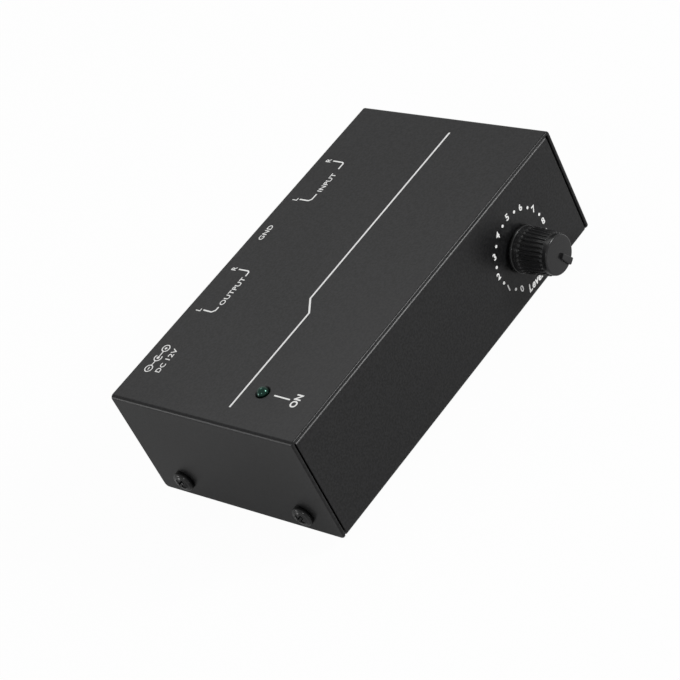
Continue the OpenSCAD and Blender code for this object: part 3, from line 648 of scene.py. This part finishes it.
def screwHead(values, centre, axis):
    # a shallow round cap, then a quarter of a full ellipse down to the rim, then the shank; less a
    # cross whose depth fades over a short slope beside each arm and tapers towards the arm's end
    cap, head, shank = values["capRadius"], values["headRadius"], values["shankRadius"]
    top, rim, length = values["headHeight"], values["rim"], values["shankLength"]
    crown = np.linspace(0, cap, values["capRings"])
    fall = np.linspace(0, pi / 2, values["fallRings"])[1:]
    out, down = (np.clip(part, 0, 1) ** values["fullness"] for part in (np.sin(fall), np.cos(fall)))
    dome = top - values["capRise"] * (crown / cap) ** 2
    side = rim + (top - values["capRise"] - rim) * down
    under = np.array([
        (head - values["undercut"], 0), (shank + values["rootGap"], 0), (shank, -rim),
        (shank, values["tipLength"] - length), (shank - values["tipTaper"], -length), (0, -length),
    ])
    turn = fullTurn(values["points"])
    radius = np.concatenate([crown, cap + (head - cap) * out, under[:, 0]])[:, None] + 0 * turn
    height = np.concatenate([dome, side, under[:, 1]])[:, None]
    u, v = np.abs(radius * np.cos(turn + pi / 4)), np.abs(radius * np.sin(turn + pi / 4))
    narrow, wide = np.minimum(u, v), np.maximum(u, v)
    inArm = 1 - smooth((narrow - values["crossWidth"] / 2) / values["slope"] + 0.5)
    inReach = 1 - smooth((wide - values["crossReach"]) / (2 * values["slope"]) + 0.5)
    deep = values["crossDepth"] * (1 - values["crossTaper"] * wide / values["crossReach"])
    height = height - inArm * inReach * deep * (height > top / 2)
    across = np.array([0, 1.0, 0])
    beside = np.cross(axis, across)
    rim = np.cos(turn)[..., None] * across + np.sin(turn)[..., None] * beside
    return np.asarray(centre) + height[..., None] * np.asarray(axis) + radius[..., None] * rim, False, True


def makeCoverScrews():
    low, high = cornersOf("cover_screws")
    seat = high[0] - coverScrew["headHeight"]
    across = high[1] - coverScrew["headRadius"]
    middle = (low[2] + high[2]) / 2
    heads = [
        screwHead(coverScrew, (side * seat, y, middle), (side, 0, 0))
        for side in (-1, 1) for y in (-across, across)
    ]
    gridPiece("cover_screw_set", heads, "cover_screws", "black_screws", ["cover_screws"], sharp=55)


makeCoverScrews()
print("screws made")


foot = {
    "radius": 4.0,
    "dish": 0.15,
    "dishReach": 0.55,  # radii, as shares of the foot's, at which the dish ends and the foot stands
    "standReach": 0.72,
    "edges": (0.4, 0.4, 0.5, 0.15),
    "points": 64,
}


def makeFeet():
    low, high = cornersOf("rubber_feet")
    radius, dish, height = foot["radius"], foot["dish"], high[2]
    corners = [
        (0, dish), (radius * foot["dishReach"], dish), (radius * foot["standReach"], 0),
        (radius, 0), (radius, height), (0, height),
    ]
    profile = roundedPath(corners, foot["edges"])
    feet = [
        turned(profile, (x, y, 0), (0, 0, 1), foot["points"])
        for x in (low[0] + radius, high[0] - radius) for y in (low[1] + radius, high[1] - radius)
    ]
    gridPiece("foot_set", feet, "rubber_feet", "foot_rubber", ["rubber_feet"])


makeFeet()
print("feet made")


knobShape = {  # distances are from the front panel
    "gap": 0.8,
    "ringRadius": 5.74,
    "ringEnd": 1.3,
    "ringSlope": 0.15,
    "ringEdges": (0.12, 0.12, 0.1),
    "neckRadius": 5.58,
    "ribStart": 2.9,
    "ribEnd": 9.7,
    "footRadius": 5.58,
    "tipRadius": 5.15,
    "ribs": 30,
    "ribDepth": 0.3,
    "ribFade": 0.42,
    "ribRoundness": 0.62,
    "collarRadius": 4.86,
    "collarStep": 0.03,
    "rimSoftness": 0.42,
    "reach": 11.0,
    "wellRadius": 3.9,
    "wellDepth": 4.7,
    "boreRadius": 3.03,
    "boreEnd": 9.53,
    "flatReach": 1.53,
    "seam": 0.05,  # between the rings of points on the two sides of an inner corner
    "gripRings": 60,
    "rimRings": 12,
    "ribPoints": 16,
}
pointer = {
    "angle": -60.0,
    "start": 0.4,
    "end": 4.56,
    "rootWidth": 1.35,
    "endWidth": 1.8,
    "height": 0.7,
    "roundShare": 0.05,  # of the length, over which each end is rounded
    "endNarrow": 0.5,  # the rounded end's share of the width, and of the height
    "endLow": 0.55,
    "squareness": 0.32,
    "rings": 40,
    "points": 48,
}


def knobBody(values, centre):
    # radius at each distance along the axis and each angle: a turned profile, plus on the gripping
    # length rounded ribs, whose height follows a softened cosine and fades at both ends
    neck, collar, seam = values["neckRadius"], values["collarRadius"], values["seam"]
    hole, well, gap = values["boreRadius"], values["wellRadius"], values["gap"]
    start, stop = values["ribStart"], values["ribEnd"]
    bore = np.array([(0, values["boreEnd"]), (hole, values["boreEnd"]), (hole, values["wellDepth"] + seam)])
    hollow = np.array([(hole, values["wellDepth"]), (well, values["wellDepth"]), (well, gap)])
    ring = roundedPath([
        (well + seam, gap), (values["ringRadius"], gap), (values["ringRadius"], values["ringEnd"]),
        (neck, values["ringEnd"] + values["ringSlope"]), (neck, start),
    ], values["ringEdges"])
    grip = np.linspace(start, stop, values["gripRings"])
    grip = np.stack([np.interp(grip, [start, stop], [neck, collar]), grip], 1)
    end = roundedPath([
        (collar, stop + values["collarStep"]), (collar, values["reach"]), (0, values["reach"]),
    ], values["rimSoftness"], steps=values["rimRings"])
    profile = np.vstack([bore, hollow, ring, grip, end])
    row = np.arange(len(profile))[:, None]
    gripStart = len(bore) + len(hollow) + len(ring)
    gripping = (row >= gripStart) & (row < gripStart + len(grip))
    radius, depth = profile[:, :1], profile[:, 1:]
    turn = fullTurn(values["ribs"] * values["ribPoints"])
    fade = smooth((depth - start) / values["ribFade"]) * smooth((stop - depth) / values["ribFade"])
    crest = np.interp(depth, [start, stop], [values["footRadius"], values["tipRadius"]])
    wave = smooth(0.5 + values["ribRoundness"] * np.cos(values["ribs"] * turn))
    ribbed = radius + gripping * fade * (crest - values["ribDepth"] * (1 - wave) - radius)
    flat = np.maximum(np.cos(turn - radians(pointer["angle"])), 1e-3)
    shaped = np.where(row < len(bore), np.minimum(ribbed, values["flatReach"] / flat), ribbed)
    place = np.stack([shaped * np.cos(turn), -depth + 0 * turn, shaped * np.sin(turn)], -1)
    return np.asarray(centre) + place, False, True


def knobPointer(values, centre, reach):
    # a bar carried outwards along the pointer's direction; its section is a superellipse
    # standing in the face, and it widens evenly towards the rim, where it is rounded off
    angle = radians(values["angle"])
    out = np.array([np.cos(angle), 0, np.sin(angle)])
    side = np.array([-np.sin(angle), 0, np.cos(angle)])
    front = np.array([0, -1.0, 0])
    share = np.linspace(0, 1, values["rings"])[:, None]
    turn = fullTurn(values["points"])
    ends = np.clip(np.minimum(share, 1 - share) / values["roundShare"], 0, 1)
    ends = (1 - (1 - ends) ** 2) ** 0.5
    width = values["rootWidth"] + (values["endWidth"] - values["rootWidth"]) * share
    width = width * (values["endNarrow"] + (1 - values["endNarrow"]) * ends) * (ends > 0)
    height = values["height"] * (values["endLow"] + (1 - values["endLow"]) * ends) * (ends > 0)
    across = width / 2 * np.sign(np.cos(turn)) * np.abs(np.cos(turn)) ** values["squareness"]
    lift = height * np.sign(np.sin(turn)) * np.abs(np.sin(turn)) ** values["squareness"]
    length = values["start"] + (values["end"] - values["start"]) * share + 0 * turn
    place = length[..., None] * out + across[..., None] * side + (reach + lift)[..., None] * front
    return np.asarray(centre) + place, False, True


levelTurn = next(joint for joint in frame["joints"] if joint["name"] == "level_turn")
dialCentre = np.array(levelTurn["pos_m"]) / mm
dialCentre[1] = caseFront


def makeKnob():
    grids = [knobBody(knobShape, dialCentre), knobPointer(pointer, dialCentre, knobShape["reach"])]
    gridPiece("level_knob_body", grids, "knob", "knob_plastic", ["knob"], sharp=50)


makeKnob()
print("knob made")


light = {"radius": 1.5, "flangeRadius": 1.9, "flangeHeight": 1.0, "edge": 0.1, "domeRings": 24}


def makeLight():  # a flange, a straight side and a half sphere, as one turned profile
    low, high = cornersOf("led_lens")
    centre = (*middleOf("led_lens")[:2], low[2])
    radius, flange, length = light["radius"], light["flangeRadius"], high[2] - low[2]
    body = roundedPath([
        (0, 0), (flange, 0), (flange, light["flangeHeight"]), (radius, light["flangeHeight"]),
        (radius, length - radius),
    ], light["edge"])
    rise = np.linspace(0, pi / 2, light["domeRings"])[1:]
    cap = np.stack([radius * np.cos(rise), length - radius * (1 - np.sin(rise))], 1)
    dome = turned(np.vstack([body, cap]), centre, (0, 0, 1))
    gridPiece("light_dome", [dome], "led_lens", "light_green", ["led_lens"])


makeLight()
print("light made")


socket = {
    "step": 0.2,  # the sleeve is this much thinner inside its housing
    "sleeveEdges": (0.04, 0.03, 0.05, 0.2, 0.2, 0.04),
    "play": 0.05,  # between the sleeve and its insulator
    "holeRadius": 1.65,
    "wellRadius": 2.3,
    "coreEdges": (0.05, 0.05, 0.25, 0.35, 0.03, 0.03),
    "tailWidth": 1.2,
    "tailThickness": 0.5,
    "tailEdge": 0.08,
    "tailTip": 0.2,
    "tailTaper": 0.7,
}


def makeSocket(name):
    # the sleeve is a turned ring with a step where it leaves the housing, and a tail below
    low, high = cornersOf(name + "_shell")
    outer = (high[0] - low[0]) / 2
    centre = np.array([(low[0] + high[0]) / 2, 0, high[2] - outer])
    face = cornersOf(name.split("_")[0] + "_jack_housing")[1][1]
    coreLow, coreHigh = cornersOf(name + "_insulator")
    inner = (coreHigh[0] - coreLow[0]) / 2 + socket["play"]
    hidden = outer - socket["step"]
    ring = roundedPath([
        (hidden, low[1]), (hidden, face), (outer, face), (outer, high[1]), (inner, high[1]), (inner, low[1]),
    ], socket["sleeveEdges"], closed=True)
    shell = [turned(ring, centre, (0, 1, 0), close=True), tailBar(centre, low, centre[2] - inner)]
    gridPiece(name + "_sleeve", shell, name + "_shell", "bright_metal", [name + "_shell"])
    makeInsulator(name, centre)


def tailBar(centre, low, top):  # a thin upright bar with rounded edges, from the shell down through the board
    width, thickness = socket["tailWidth"], socket["tailThickness"]
    outline = roundedPath([
        (-width / 2, 0), (width / 2, 0), (width / 2, thickness), (-width / 2, thickness),
    ], socket["tailEdge"], closed=True, steps=4)
    heights = np.array([low[2], low[2], low[2] + socket["tailTip"], top, top])[:, None]
    spread = np.array([0, socket["tailTaper"], 1, 1, 0])[:, None]
    x = centre[0] + outline[None, :, 0] * spread
    y = low[1] + thickness / 2 + (outline[None, :, 1] - thickness / 2) * spread
    return np.stack([x, y, heights + 0 * x], -1), False, True


def makeInsulator(name, centre):  # a turned ring with a narrow mouth and a wider well behind it
    node = name + "_insulator"
    low, high = cornersOf(node)
    outer = (high[0] - low[0]) / 2
    contactEnd = cornersOf(name + "_contact")[1][1]
    hole, well = socket["holeRadius"], socket["wellRadius"]
    ring = roundedPath([
        (well, low[1]), (outer, low[1]), (outer, high[1]), (hole, high[1]),
        (hole, contactEnd), (well, contactEnd),
    ], socket["coreEdges"], closed=True)
    gridPiece(name + "_core", [turned(ring, centre, (0, 1, 0), close=True)], node, slotOf[node], [node])


for name in ("output_left", "output_right", "input_left", "input_right"):
    makeSocket(name)

post = {
    "radius": 2.0,
    "threadPitch": 0.7,
    "threadDepth": 0.2,
    "threadFade": 0.5,
    "tipHeight": 0.35,
    "tipTaper": 0.3,
    "headRadius": 3.6,
    "headHeight": 2.3,
    "domeHeight": 0.35,
    "domeRadius": 2.2,
    "sideStart": 1.0,  # where the head's straight side starts
    "headEdges": (1.5, 0.6, 0.1),
    "rings": 190,
    "points": 48,
    "lockNutEdge": 0.15,
}
thumbNut = {
    "boreRadius": 2.06,
    "collarRadius": 3.5,
    "collarHeight": 1.2,
    "edges": (0.25, 0.1, 0.06, 0.45, 0.45, 0.3),
    "knurls": 36,
    "knurlDepth": 0.28,
    "knurlRoundness": 0.6,
    "knurlFade": 0.5,
    "knurlMargin": 0.15,
    "onlyBeyond": 0.3,  # the knurls are left off this near the collar's radius
    "pointsPerKnurl": 8,
}
washer = {"boreRadius": 2.1, "edges": (0.1, 0.15, 0.25, 0.1)}


def makePost():
    # thread: the radius falls and rises along the axis as a rounded wave, a turn behind itself each pitch
    low, high = cornersOf("ground_screw")
    centre = middleOf("ground_screw")
    seat = low[1] + post["headHeight"]
    radius = post["radius"]
    turn = fullTurn(post["points"])
    along = np.linspace(seat, high[1] - post["tipHeight"], post["rings"])[:, None]
    wave = np.abs(((along / post["threadPitch"] + turn / (2 * pi)) % 1) - 0.5) * 2
    fade = smooth((along - caseBack) / post["threadFade"]) * smooth((high[1] - along) / post["threadFade"])
    thread = radius - post["threadDepth"] * fade * smooth(wave)
    head = roundedPath([
        (0, low[1] + post["domeHeight"]), (post["domeRadius"], low[1]),
        (post["headRadius"], low[1] + post["sideStart"]), (post["headRadius"], seat), (radius, seat),
    ], post["headEdges"])
    tip = np.array([(radius - post["tipTaper"], high[1]), (0, high[1])])
    radii = np.vstack([np.repeat(head[:, :1], turn.size, 1), thread, np.repeat(tip[:, :1], turn.size, 1)])
    places = np.vstack([head[:, 1:], along, tip[:, 1:]])
    x = centre[0] + radii * np.cos(turn)
    z = centre[2] + radii * np.sin(turn)
    grid = np.stack([x, places + 0 * x, z], -1), False, True
    gridPiece("ground_post", [grid], "ground_screw", "bright_metal", ["ground_screw"], sharp=60)


def makeThumbNut():
    # knurled ring: the radius drops between the teeth, only on the gripping band
    node = "ground_thumb_nut"
    low, high = cornersOf(node)
    outer = (high[0] - low[0]) / 2
    centre = middleOf(node)
    collar, bore, margin = thumbNut["collarRadius"], thumbNut["boreRadius"], thumbNut["knurlMargin"]
    band = low[1] + thumbNut["collarHeight"]
    ring = roundedPath([
        (bore, low[1]), (collar, low[1]), (collar, band), (outer, band), (outer, high[1]), (bore, high[1]),
    ], thumbNut["edges"], closed=True)
    turn = fullTurn(thumbNut["knurls"] * thumbNut["pointsPerKnurl"])
    radius, place = ring[:, :1], ring[:, 1:]
    grip = smooth((place - band - margin) / thumbNut["knurlFade"])
    grip = grip * smooth((high[1] - margin - place) / thumbNut["knurlFade"])
    grip = grip * (radius > collar + thumbNut["onlyBeyond"])
    teeth = smooth(0.5 - thumbNut["knurlRoundness"] * np.cos(thumbNut["knurls"] * turn))
    radius = radius - thumbNut["knurlDepth"] * grip * teeth
    x = centre[0] + radius * np.cos(turn)
    grid = np.stack([x, place + 0 * x, centre[2] + radius * np.sin(turn)], -1), True, True
    gridPiece("ground_knurled_nut", [grid], node, "bright_metal", [node], sharp=50)


def makeWasher():  # a flat ring with rounded edges
    low, high = cornersOf("ground_washer")
    bore, outer = washer["boreRadius"], (high[0] - low[0]) / 2
    ring = [(bore, low[1]), (outer, low[1]), (outer, high[1]), (bore, high[1])]
    ring = roundedPath(ring, washer["edges"], closed=True)
    grid = turned(ring, middleOf("ground_washer") * (1, 0, 1), (0, 1, 0), close=True)
    gridPiece("ground_plain_washer", [grid], "ground_washer", "bright_metal", ["ground_washer"])


makePost()
makeThumbNut()
makeWasher()
dressedPiece("ground_lock_nut", "ground_hex_nut", post["lockNutEdge"])
print("sockets and post made")


marks = {
    "inkTop": 0.03,  # how far the ink stands above the paint
    "inkRoot": 0.05,
    "lineWidth": 0.38,
    "steppedWidth": 0.456,
    "letterHeight": 1.45,
    "letterWeight": 0.01,  # how far a letter's outline is pushed outwards, as a share of its size
    "letterSpace": 1.06,
    "curveSteps": 5,
    "bracketCorner": 0.3,
    "steppedCorner": 0.4,
    "dotPoints": 24,
}
words = {  # middle and length of each word along the top's rear edge
    "OUTPUT": ((-14.35, 20.05), 9.3),
    "INPUT": ((24.15, 20.05), 6.55),
    "GND": ((5.15, 25.1), 5.1),
    "DC": ((-40.35, 21.5), 2.9),
    "12V": ((-35.95, 21.6), 3.6),
}
sides = (("L", (-21.65, 25.0)), ("R", (-7.55, 25.05)), ("L", (17.25, 25.0)), ("R", (31.4, 25.1)))
brackets = (
    [(-21.5, 23.6), (-21.6, 20.9), (-20.9, 20.1), (-19.75, 20.05)],
    [(-7.5, 23.6), (-7.45, 20.6), (-7.8, 20.1), (-9.15, 20.05)],
    [(17.4, 23.7), (17.4, 20.9), (18.0, 20.2), (19.95, 20.15)],
    [(31.5, 23.7), (31.45, 20.6), (31.1, 20.15), (29.1, 20.15)],
)
steppedLine = [(-46.1, -5.7), (-15.9, -5.8), (-11.7, -2.85), (46.3, -2.6)]
lightMark = {
    "word": "ON",
    "middle": (-40.25, -21.25),
    "length": 3.85,
    "height": 1.95,
    "weight": 0.03,
    "line": [(-40.2, -14.6), (-40.3, -19.4)],
}
topPanel = {"origin": (0, 0, coverHigh[2]), "right": (1, 0, 0), "up": (0, 1, 0), "out": (0, 0, 1)}
frontPanel = {"origin": (0, caseFront, coverLow[2]), "right": (1, 0, 0), "up": (0, 0, 1), "out": (0, -1, 0)}


def onPanel(panel, flat, lift):  # a point of the panel: origin + x * right + y * up + lift * out
    origin, right, up, out = (np.asarray(panel[key], float) for key in ("origin", "right", "up", "out"))
    return origin + flat[..., :1] * right + flat[..., 1:] * up + np.asarray(lift)[..., None] * out


def inkStroke(panel, path, width, closed=False, share=1.0):
    # a low bar along the path: each point moves half the width to both sides of the path's
    # direction, and the bar's ends are closed onto their middles
    path = np.asarray(path, float)
    step = np.roll(path, -1, 0) - np.roll(path, 1, 0) if closed else np.gradient(path, axis=0)
    step = step / np.linalg.norm(step, axis=1, keepdims=True)
    side = np.stack([-step[:, 1], step[:, 0]], 1) * width / 2
    section = np.stack([path + side, path + side, path - side, path - side], 1)
    root, top = -marks["inkRoot"], marks["inkTop"] * share
    points = onPanel(panel, section, np.broadcast_to([root, top, top, root], section.shape[:2]))
    if closed:
        return points, True, True
    ends = [np.repeat(points[row:row + 1].mean(1, keepdims=True), 4, 1) for row in (0, len(points) - 1)]
    return np.concatenate([ends[0], points, ends[1]]), False, True


def inkDot(panel, centre, radius):  # a low round plate
    low, high = -marks["inkRoot"], marks["inkTop"]
    profile = np.array([(0, low), (radius, low), (radius, high), (0, high)])
    middle = onPanel(panel, np.asarray(centre, float), 0.0)
    return turned(profile, middle, panel["out"], marks["dotPoints"])


def inkText(panel, text, middle, height, weight, length=None, slant=0.0):
    # the plain built-in letters, filled and given the ink's thickness: each point goes to
    # middle + x * right + y * up + z * out, with x stretched until the word has its length
    curve = bpy.data.curves.new(text, "FONT")
    curve.body = text
    curve.size = 1
    curve.offset = weight
    curve.shear = slant
    curve.space_character = marks["letterSpace"]
    curve.resolution_u = marks["curveSteps"]
    curve.extrude = 0.5  # any thickness: the lift below gives the ink's own
    holder = bpy.data.objects.new(text, curve)
    mesh = bpy.data.meshes.new_from_object(holder)
    points = np.empty(len(mesh.vertices) * 3)
    mesh.vertices.foreach_get("co", points)
    points = points.reshape(-1, 3)
    low, high = points.min(0), points.max(0)
    size = height / (high[1] - low[1])
    stretch = length / (high[0] - low[0]) if length else size
    flat = (points[:, :2] - (low + high)[:2] / 2) * (stretch, size) + middle
    lift = np.where(points[:, 2] > 0, marks["inkTop"], -marks["inkRoot"])
    faces = [tuple(face.vertices) for face in mesh.polygons]
    bpy.data.objects.remove(holder)
    bpy.data.curves.remove(curve)
    bpy.data.meshes.remove(mesh)
    return onPanel(panel, flat, lift), faces


def ringPath(centre, radius, start=0.0, end=360.0, count=32):  # centre + radius * (cos a, sin a)
    turn = np.radians(np.linspace(start, end, count, endpoint=end - start < 360))
    return np.array(centre) + radius * np.stack([np.cos(turn), np.sin(turn)], 1)


def inkPiece(name, texts, grids, node):
    points = [text[0] for text in texts] + [grid[0].reshape(-1, 3) for grid in grids]
    faces = [text[1] for text in texts] + [joinGrid(*grid).tolist() for grid in grids]
    starts = np.cumsum([0] + [len(part) for part in points])
    parts = zip(starts.tolist(), faces)
    moved = [[start + corner for corner in face] for start, part in parts for face in part]
    mesh = weldedMesh(name, np.vstack(points) * mm, moved, surface["sharp"])
    addPiece(name, mesh, node, "white_ink", ())


def makeTopMarks():
    top, line = topPanel, marks["lineWidth"]
    height, weight = marks["letterHeight"], marks["letterWeight"]
    texts = [inkText(top, word, middle, height, weight, length) for word, (middle, length) in words.items()]
    texts += [inkText(top, side, place, height, weight) for side, place in sides]
    texts.append(inkText(top, *(lightMark[key] for key in ("word", "middle", "height", "weight", "length"))))
    grids = [inkStroke(top, roundedPath(bracket, marks["bracketCorner"]), line) for bracket in brackets]
    grids.append(inkStroke(top, roundedPath(steppedLine, marks["steppedCorner"]), marks["steppedWidth"]))
    grids.append(inkStroke(top, lightMark["line"], line))
    inkPiece("top_marks", texts, grids + polarityMarks(top), "top_cover")


polarity = {
    "minus": (-41.3, 24.65),
    "middle": (-37.8, 24.6),
    "plus": (-34.7, 24.65),
    "ring": 1.0,
    "opening": 52,  # degrees to each side that the middle ring leaves open
    "sign": 0.4,
    "pin": 0.38,
    "line": 0.26,
    "low": 0.85,  # shares of the ink's height, so that no two lines lie in one plane
    "lowest": 0.7,
}


def polarityMarks(top):  # two ringed signs and a C-shaped contact round its pin, joined by lines
    minus, middle, plus = (np.array(polarity[name]) for name in ("minus", "middle", "plus"))
    ring, sign, line, opening = (polarity[name] for name in ("ring", "sign", "line", "opening"))
    low, lowest = polarity["low"], polarity["lowest"]
    across, up = np.array((1.0, 0)), np.array((0, 1.0))
    return [
        inkStroke(top, ringPath(minus, ring), line, True),
        inkStroke(top, ringPath(plus, ring), line, True),
        inkStroke(top, ringPath(middle, ring, opening, 360 - opening), line),
        inkStroke(top, [minus + ring * across, middle - ring * across], line, False, low),
        inkStroke(top, [middle, plus - ring * across], line, False, low),
        inkStroke(top, [minus - sign * across, minus + sign * across], line),
        inkStroke(top, [plus - sign * across, plus + sign * across], line),
        inkStroke(top, [plus - sign * up, plus + sign * up], line, False, lowest),
        inkDot(top, middle, polarity["pin"]),
    ]


dial = {
    "numbers": 11,
    "zero": -120,  # degrees from the right at which the 0 stands
    "pitch": 30,
    "radius": 9.65,
    "shift": (-0.12, 0.2),  # of the numbers' ring from the dial's middle
    "height": 1.7,
    "weight": 0.03,
    "dotRing": 9.5,
    "dotRadius": 0.38,
    "word": "Level",
    "wordMiddle": (29.3, 2.85),
    "wordHeight": 2.0,
    "wordLength": 6.3,
    "slant": 0.32,
}


def makeDialMarks():
    centre = dialCentre[[0, 2]] - (0, coverLow[2])
    weight = dial["weight"]
    texts, dots = [], []
    for number in range(dial["numbers"]):
        angle = radians(dial["zero"] - dial["pitch"] * number)
        place = centre + dial["shift"] + dial["radius"] * np.array((np.cos(angle), np.sin(angle)))
        texts.append(inkText(frontPanel, str(number), place, dial["height"], weight))
    for gap in range(dial["numbers"] - 1):
        angle = radians(dial["zero"] - dial["pitch"] * (gap + 0.5))
        place = centre + dial["dotRing"] * np.array((np.cos(angle), np.sin(angle)))
        dots.append(inkDot(frontPanel, place, dial["dotRadius"]))
    size = (dial["wordHeight"], weight, dial["wordLength"], dial["slant"])
    texts.append(inkText(frontPanel, dial["word"], dial["wordMiddle"], *size))
    inkPiece("dial_marks", texts, dots, "base_chassis")


makeTopMarks()
makeDialMarks()
print("marks printed")


for name, node in cadNodes.items():  # what keeps its own shape shows these too
    node.data.materials.clear()
    node.data.materials.append(finishes[slotOf[name]])
print("finishes given")


studio = {
    "floorSize": 8.0,
    "floorSteps": 8,
    "floorTones": ((0.76, 0.76, 0.76), (0.78, 0.78, 0.78)),
    "floorGrain": (4.0, 2.0),
    "floorRoughness": 0.9,
    "floorWhite": 0.97,  # share of plain white in what the camera sees of the floor
    "floorShine": 0.1,  # the same share in what smooth surfaces reflect of it
    "ambient": 0.35,  # strength of the light from all round
    "shine": 0.25,  # share of the white backdrop that smooth surfaces show
    "distance": 1.2,
}
lamps = {  # direction from the object, side of the square in metres, brightness where white is 1
    "front_right": ((0.458, -0.72, 0.50), 0.3, 30.0),
    "back_left": ((-0.73, 0.66, 0.13), 0.36, 5.0),
    "left": ((-0.75, -0.30, 0.58), 0.2, 11.0),
    "overhead": ((0.35, 0.50, 0.80), 0.6, 1.5),
}


def makeFloor():
    half = studio["floorSize"] / 2 / mm
    steps = np.linspace(-half, half, studio["floorSteps"] + 1)
    x, y = np.meshgrid(steps, steps, indexing="ij")
    points = np.stack([x, y, 0 * x], -1)
    faces = joinGrid(points, False, False).tolist()
    mesh = weldedMesh("floor", points.reshape(-1, 3) * mm, faces, surface["sharp"])
    floor = bpy.data.objects.new("floor", mesh)
    bpy.context.scene.collection.objects.link(floor)
    finish = Finish("floor_white", {"Roughness": studio["floorRoughness"], "Specular IOR Level": 0.0})
    tone = finish.mix(finish.noise(*studio["floorGrain"]), *studio["floorTones"])
    finish.join(tone, finish.shader.inputs["Base Color"])
    glow = finish.add("ShaderNodeEmission", {}, {"Color": (1, 1, 1, 1), "Strength": 1.0})
    camera, shine = finish.seen()
    share = (camera * studio["floorWhite"]).largest(shine * studio["floorShine"])
    lit = Wire(finish, finish.shader.outputs[0])
    shown = finish.add("ShaderNodeMixShader", {}, {0: share, 1: lit, 2: glow})
    finish.join(shown, finish.tree.nodes["Material Output"].inputs["Surface"])
    mesh.materials.append(finish.material)
    floor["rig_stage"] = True


def makeWorld():
    world = bpy.data.worlds.new("studio")
    world.use_nodes = True
    bpy.context.scene.world = world
    graph = Graph(world.node_tree)
    background = graph.tree.nodes["Background"]
    background.inputs["Color"].default_value = (1, 1, 1, 1)
    camera, shine = graph.seen()
    white = camera.largest(shine * studio["shine"])
    graph.join(white * (1 - studio["ambient"]) + studio["ambient"], background.inputs["Strength"])


def makeLamps():
    middle = Vector(sum(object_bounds(), Vector()) / 2)
    for name, (direction, side, brightness) in lamps.items():
        lamp = bpy.data.lights.new(name, "AREA")
        lamp.shape = "SQUARE"
        lamp.size = side
        lamp.energy = brightness * pi * side ** 2
        away = Vector(direction).normalized()
        turn = away.to_track_quat("Z", "Y").to_matrix().to_4x4()
        holder = bpy.data.objects.new(name, lamp)
        holder.matrix_world = Matrix.Translation(middle + away * studio["distance"]) @ turn
        bpy.context.scene.collection.objects.link(holder)


makeFloor()
makeWorld()
makeLamps()
print("studio lit")
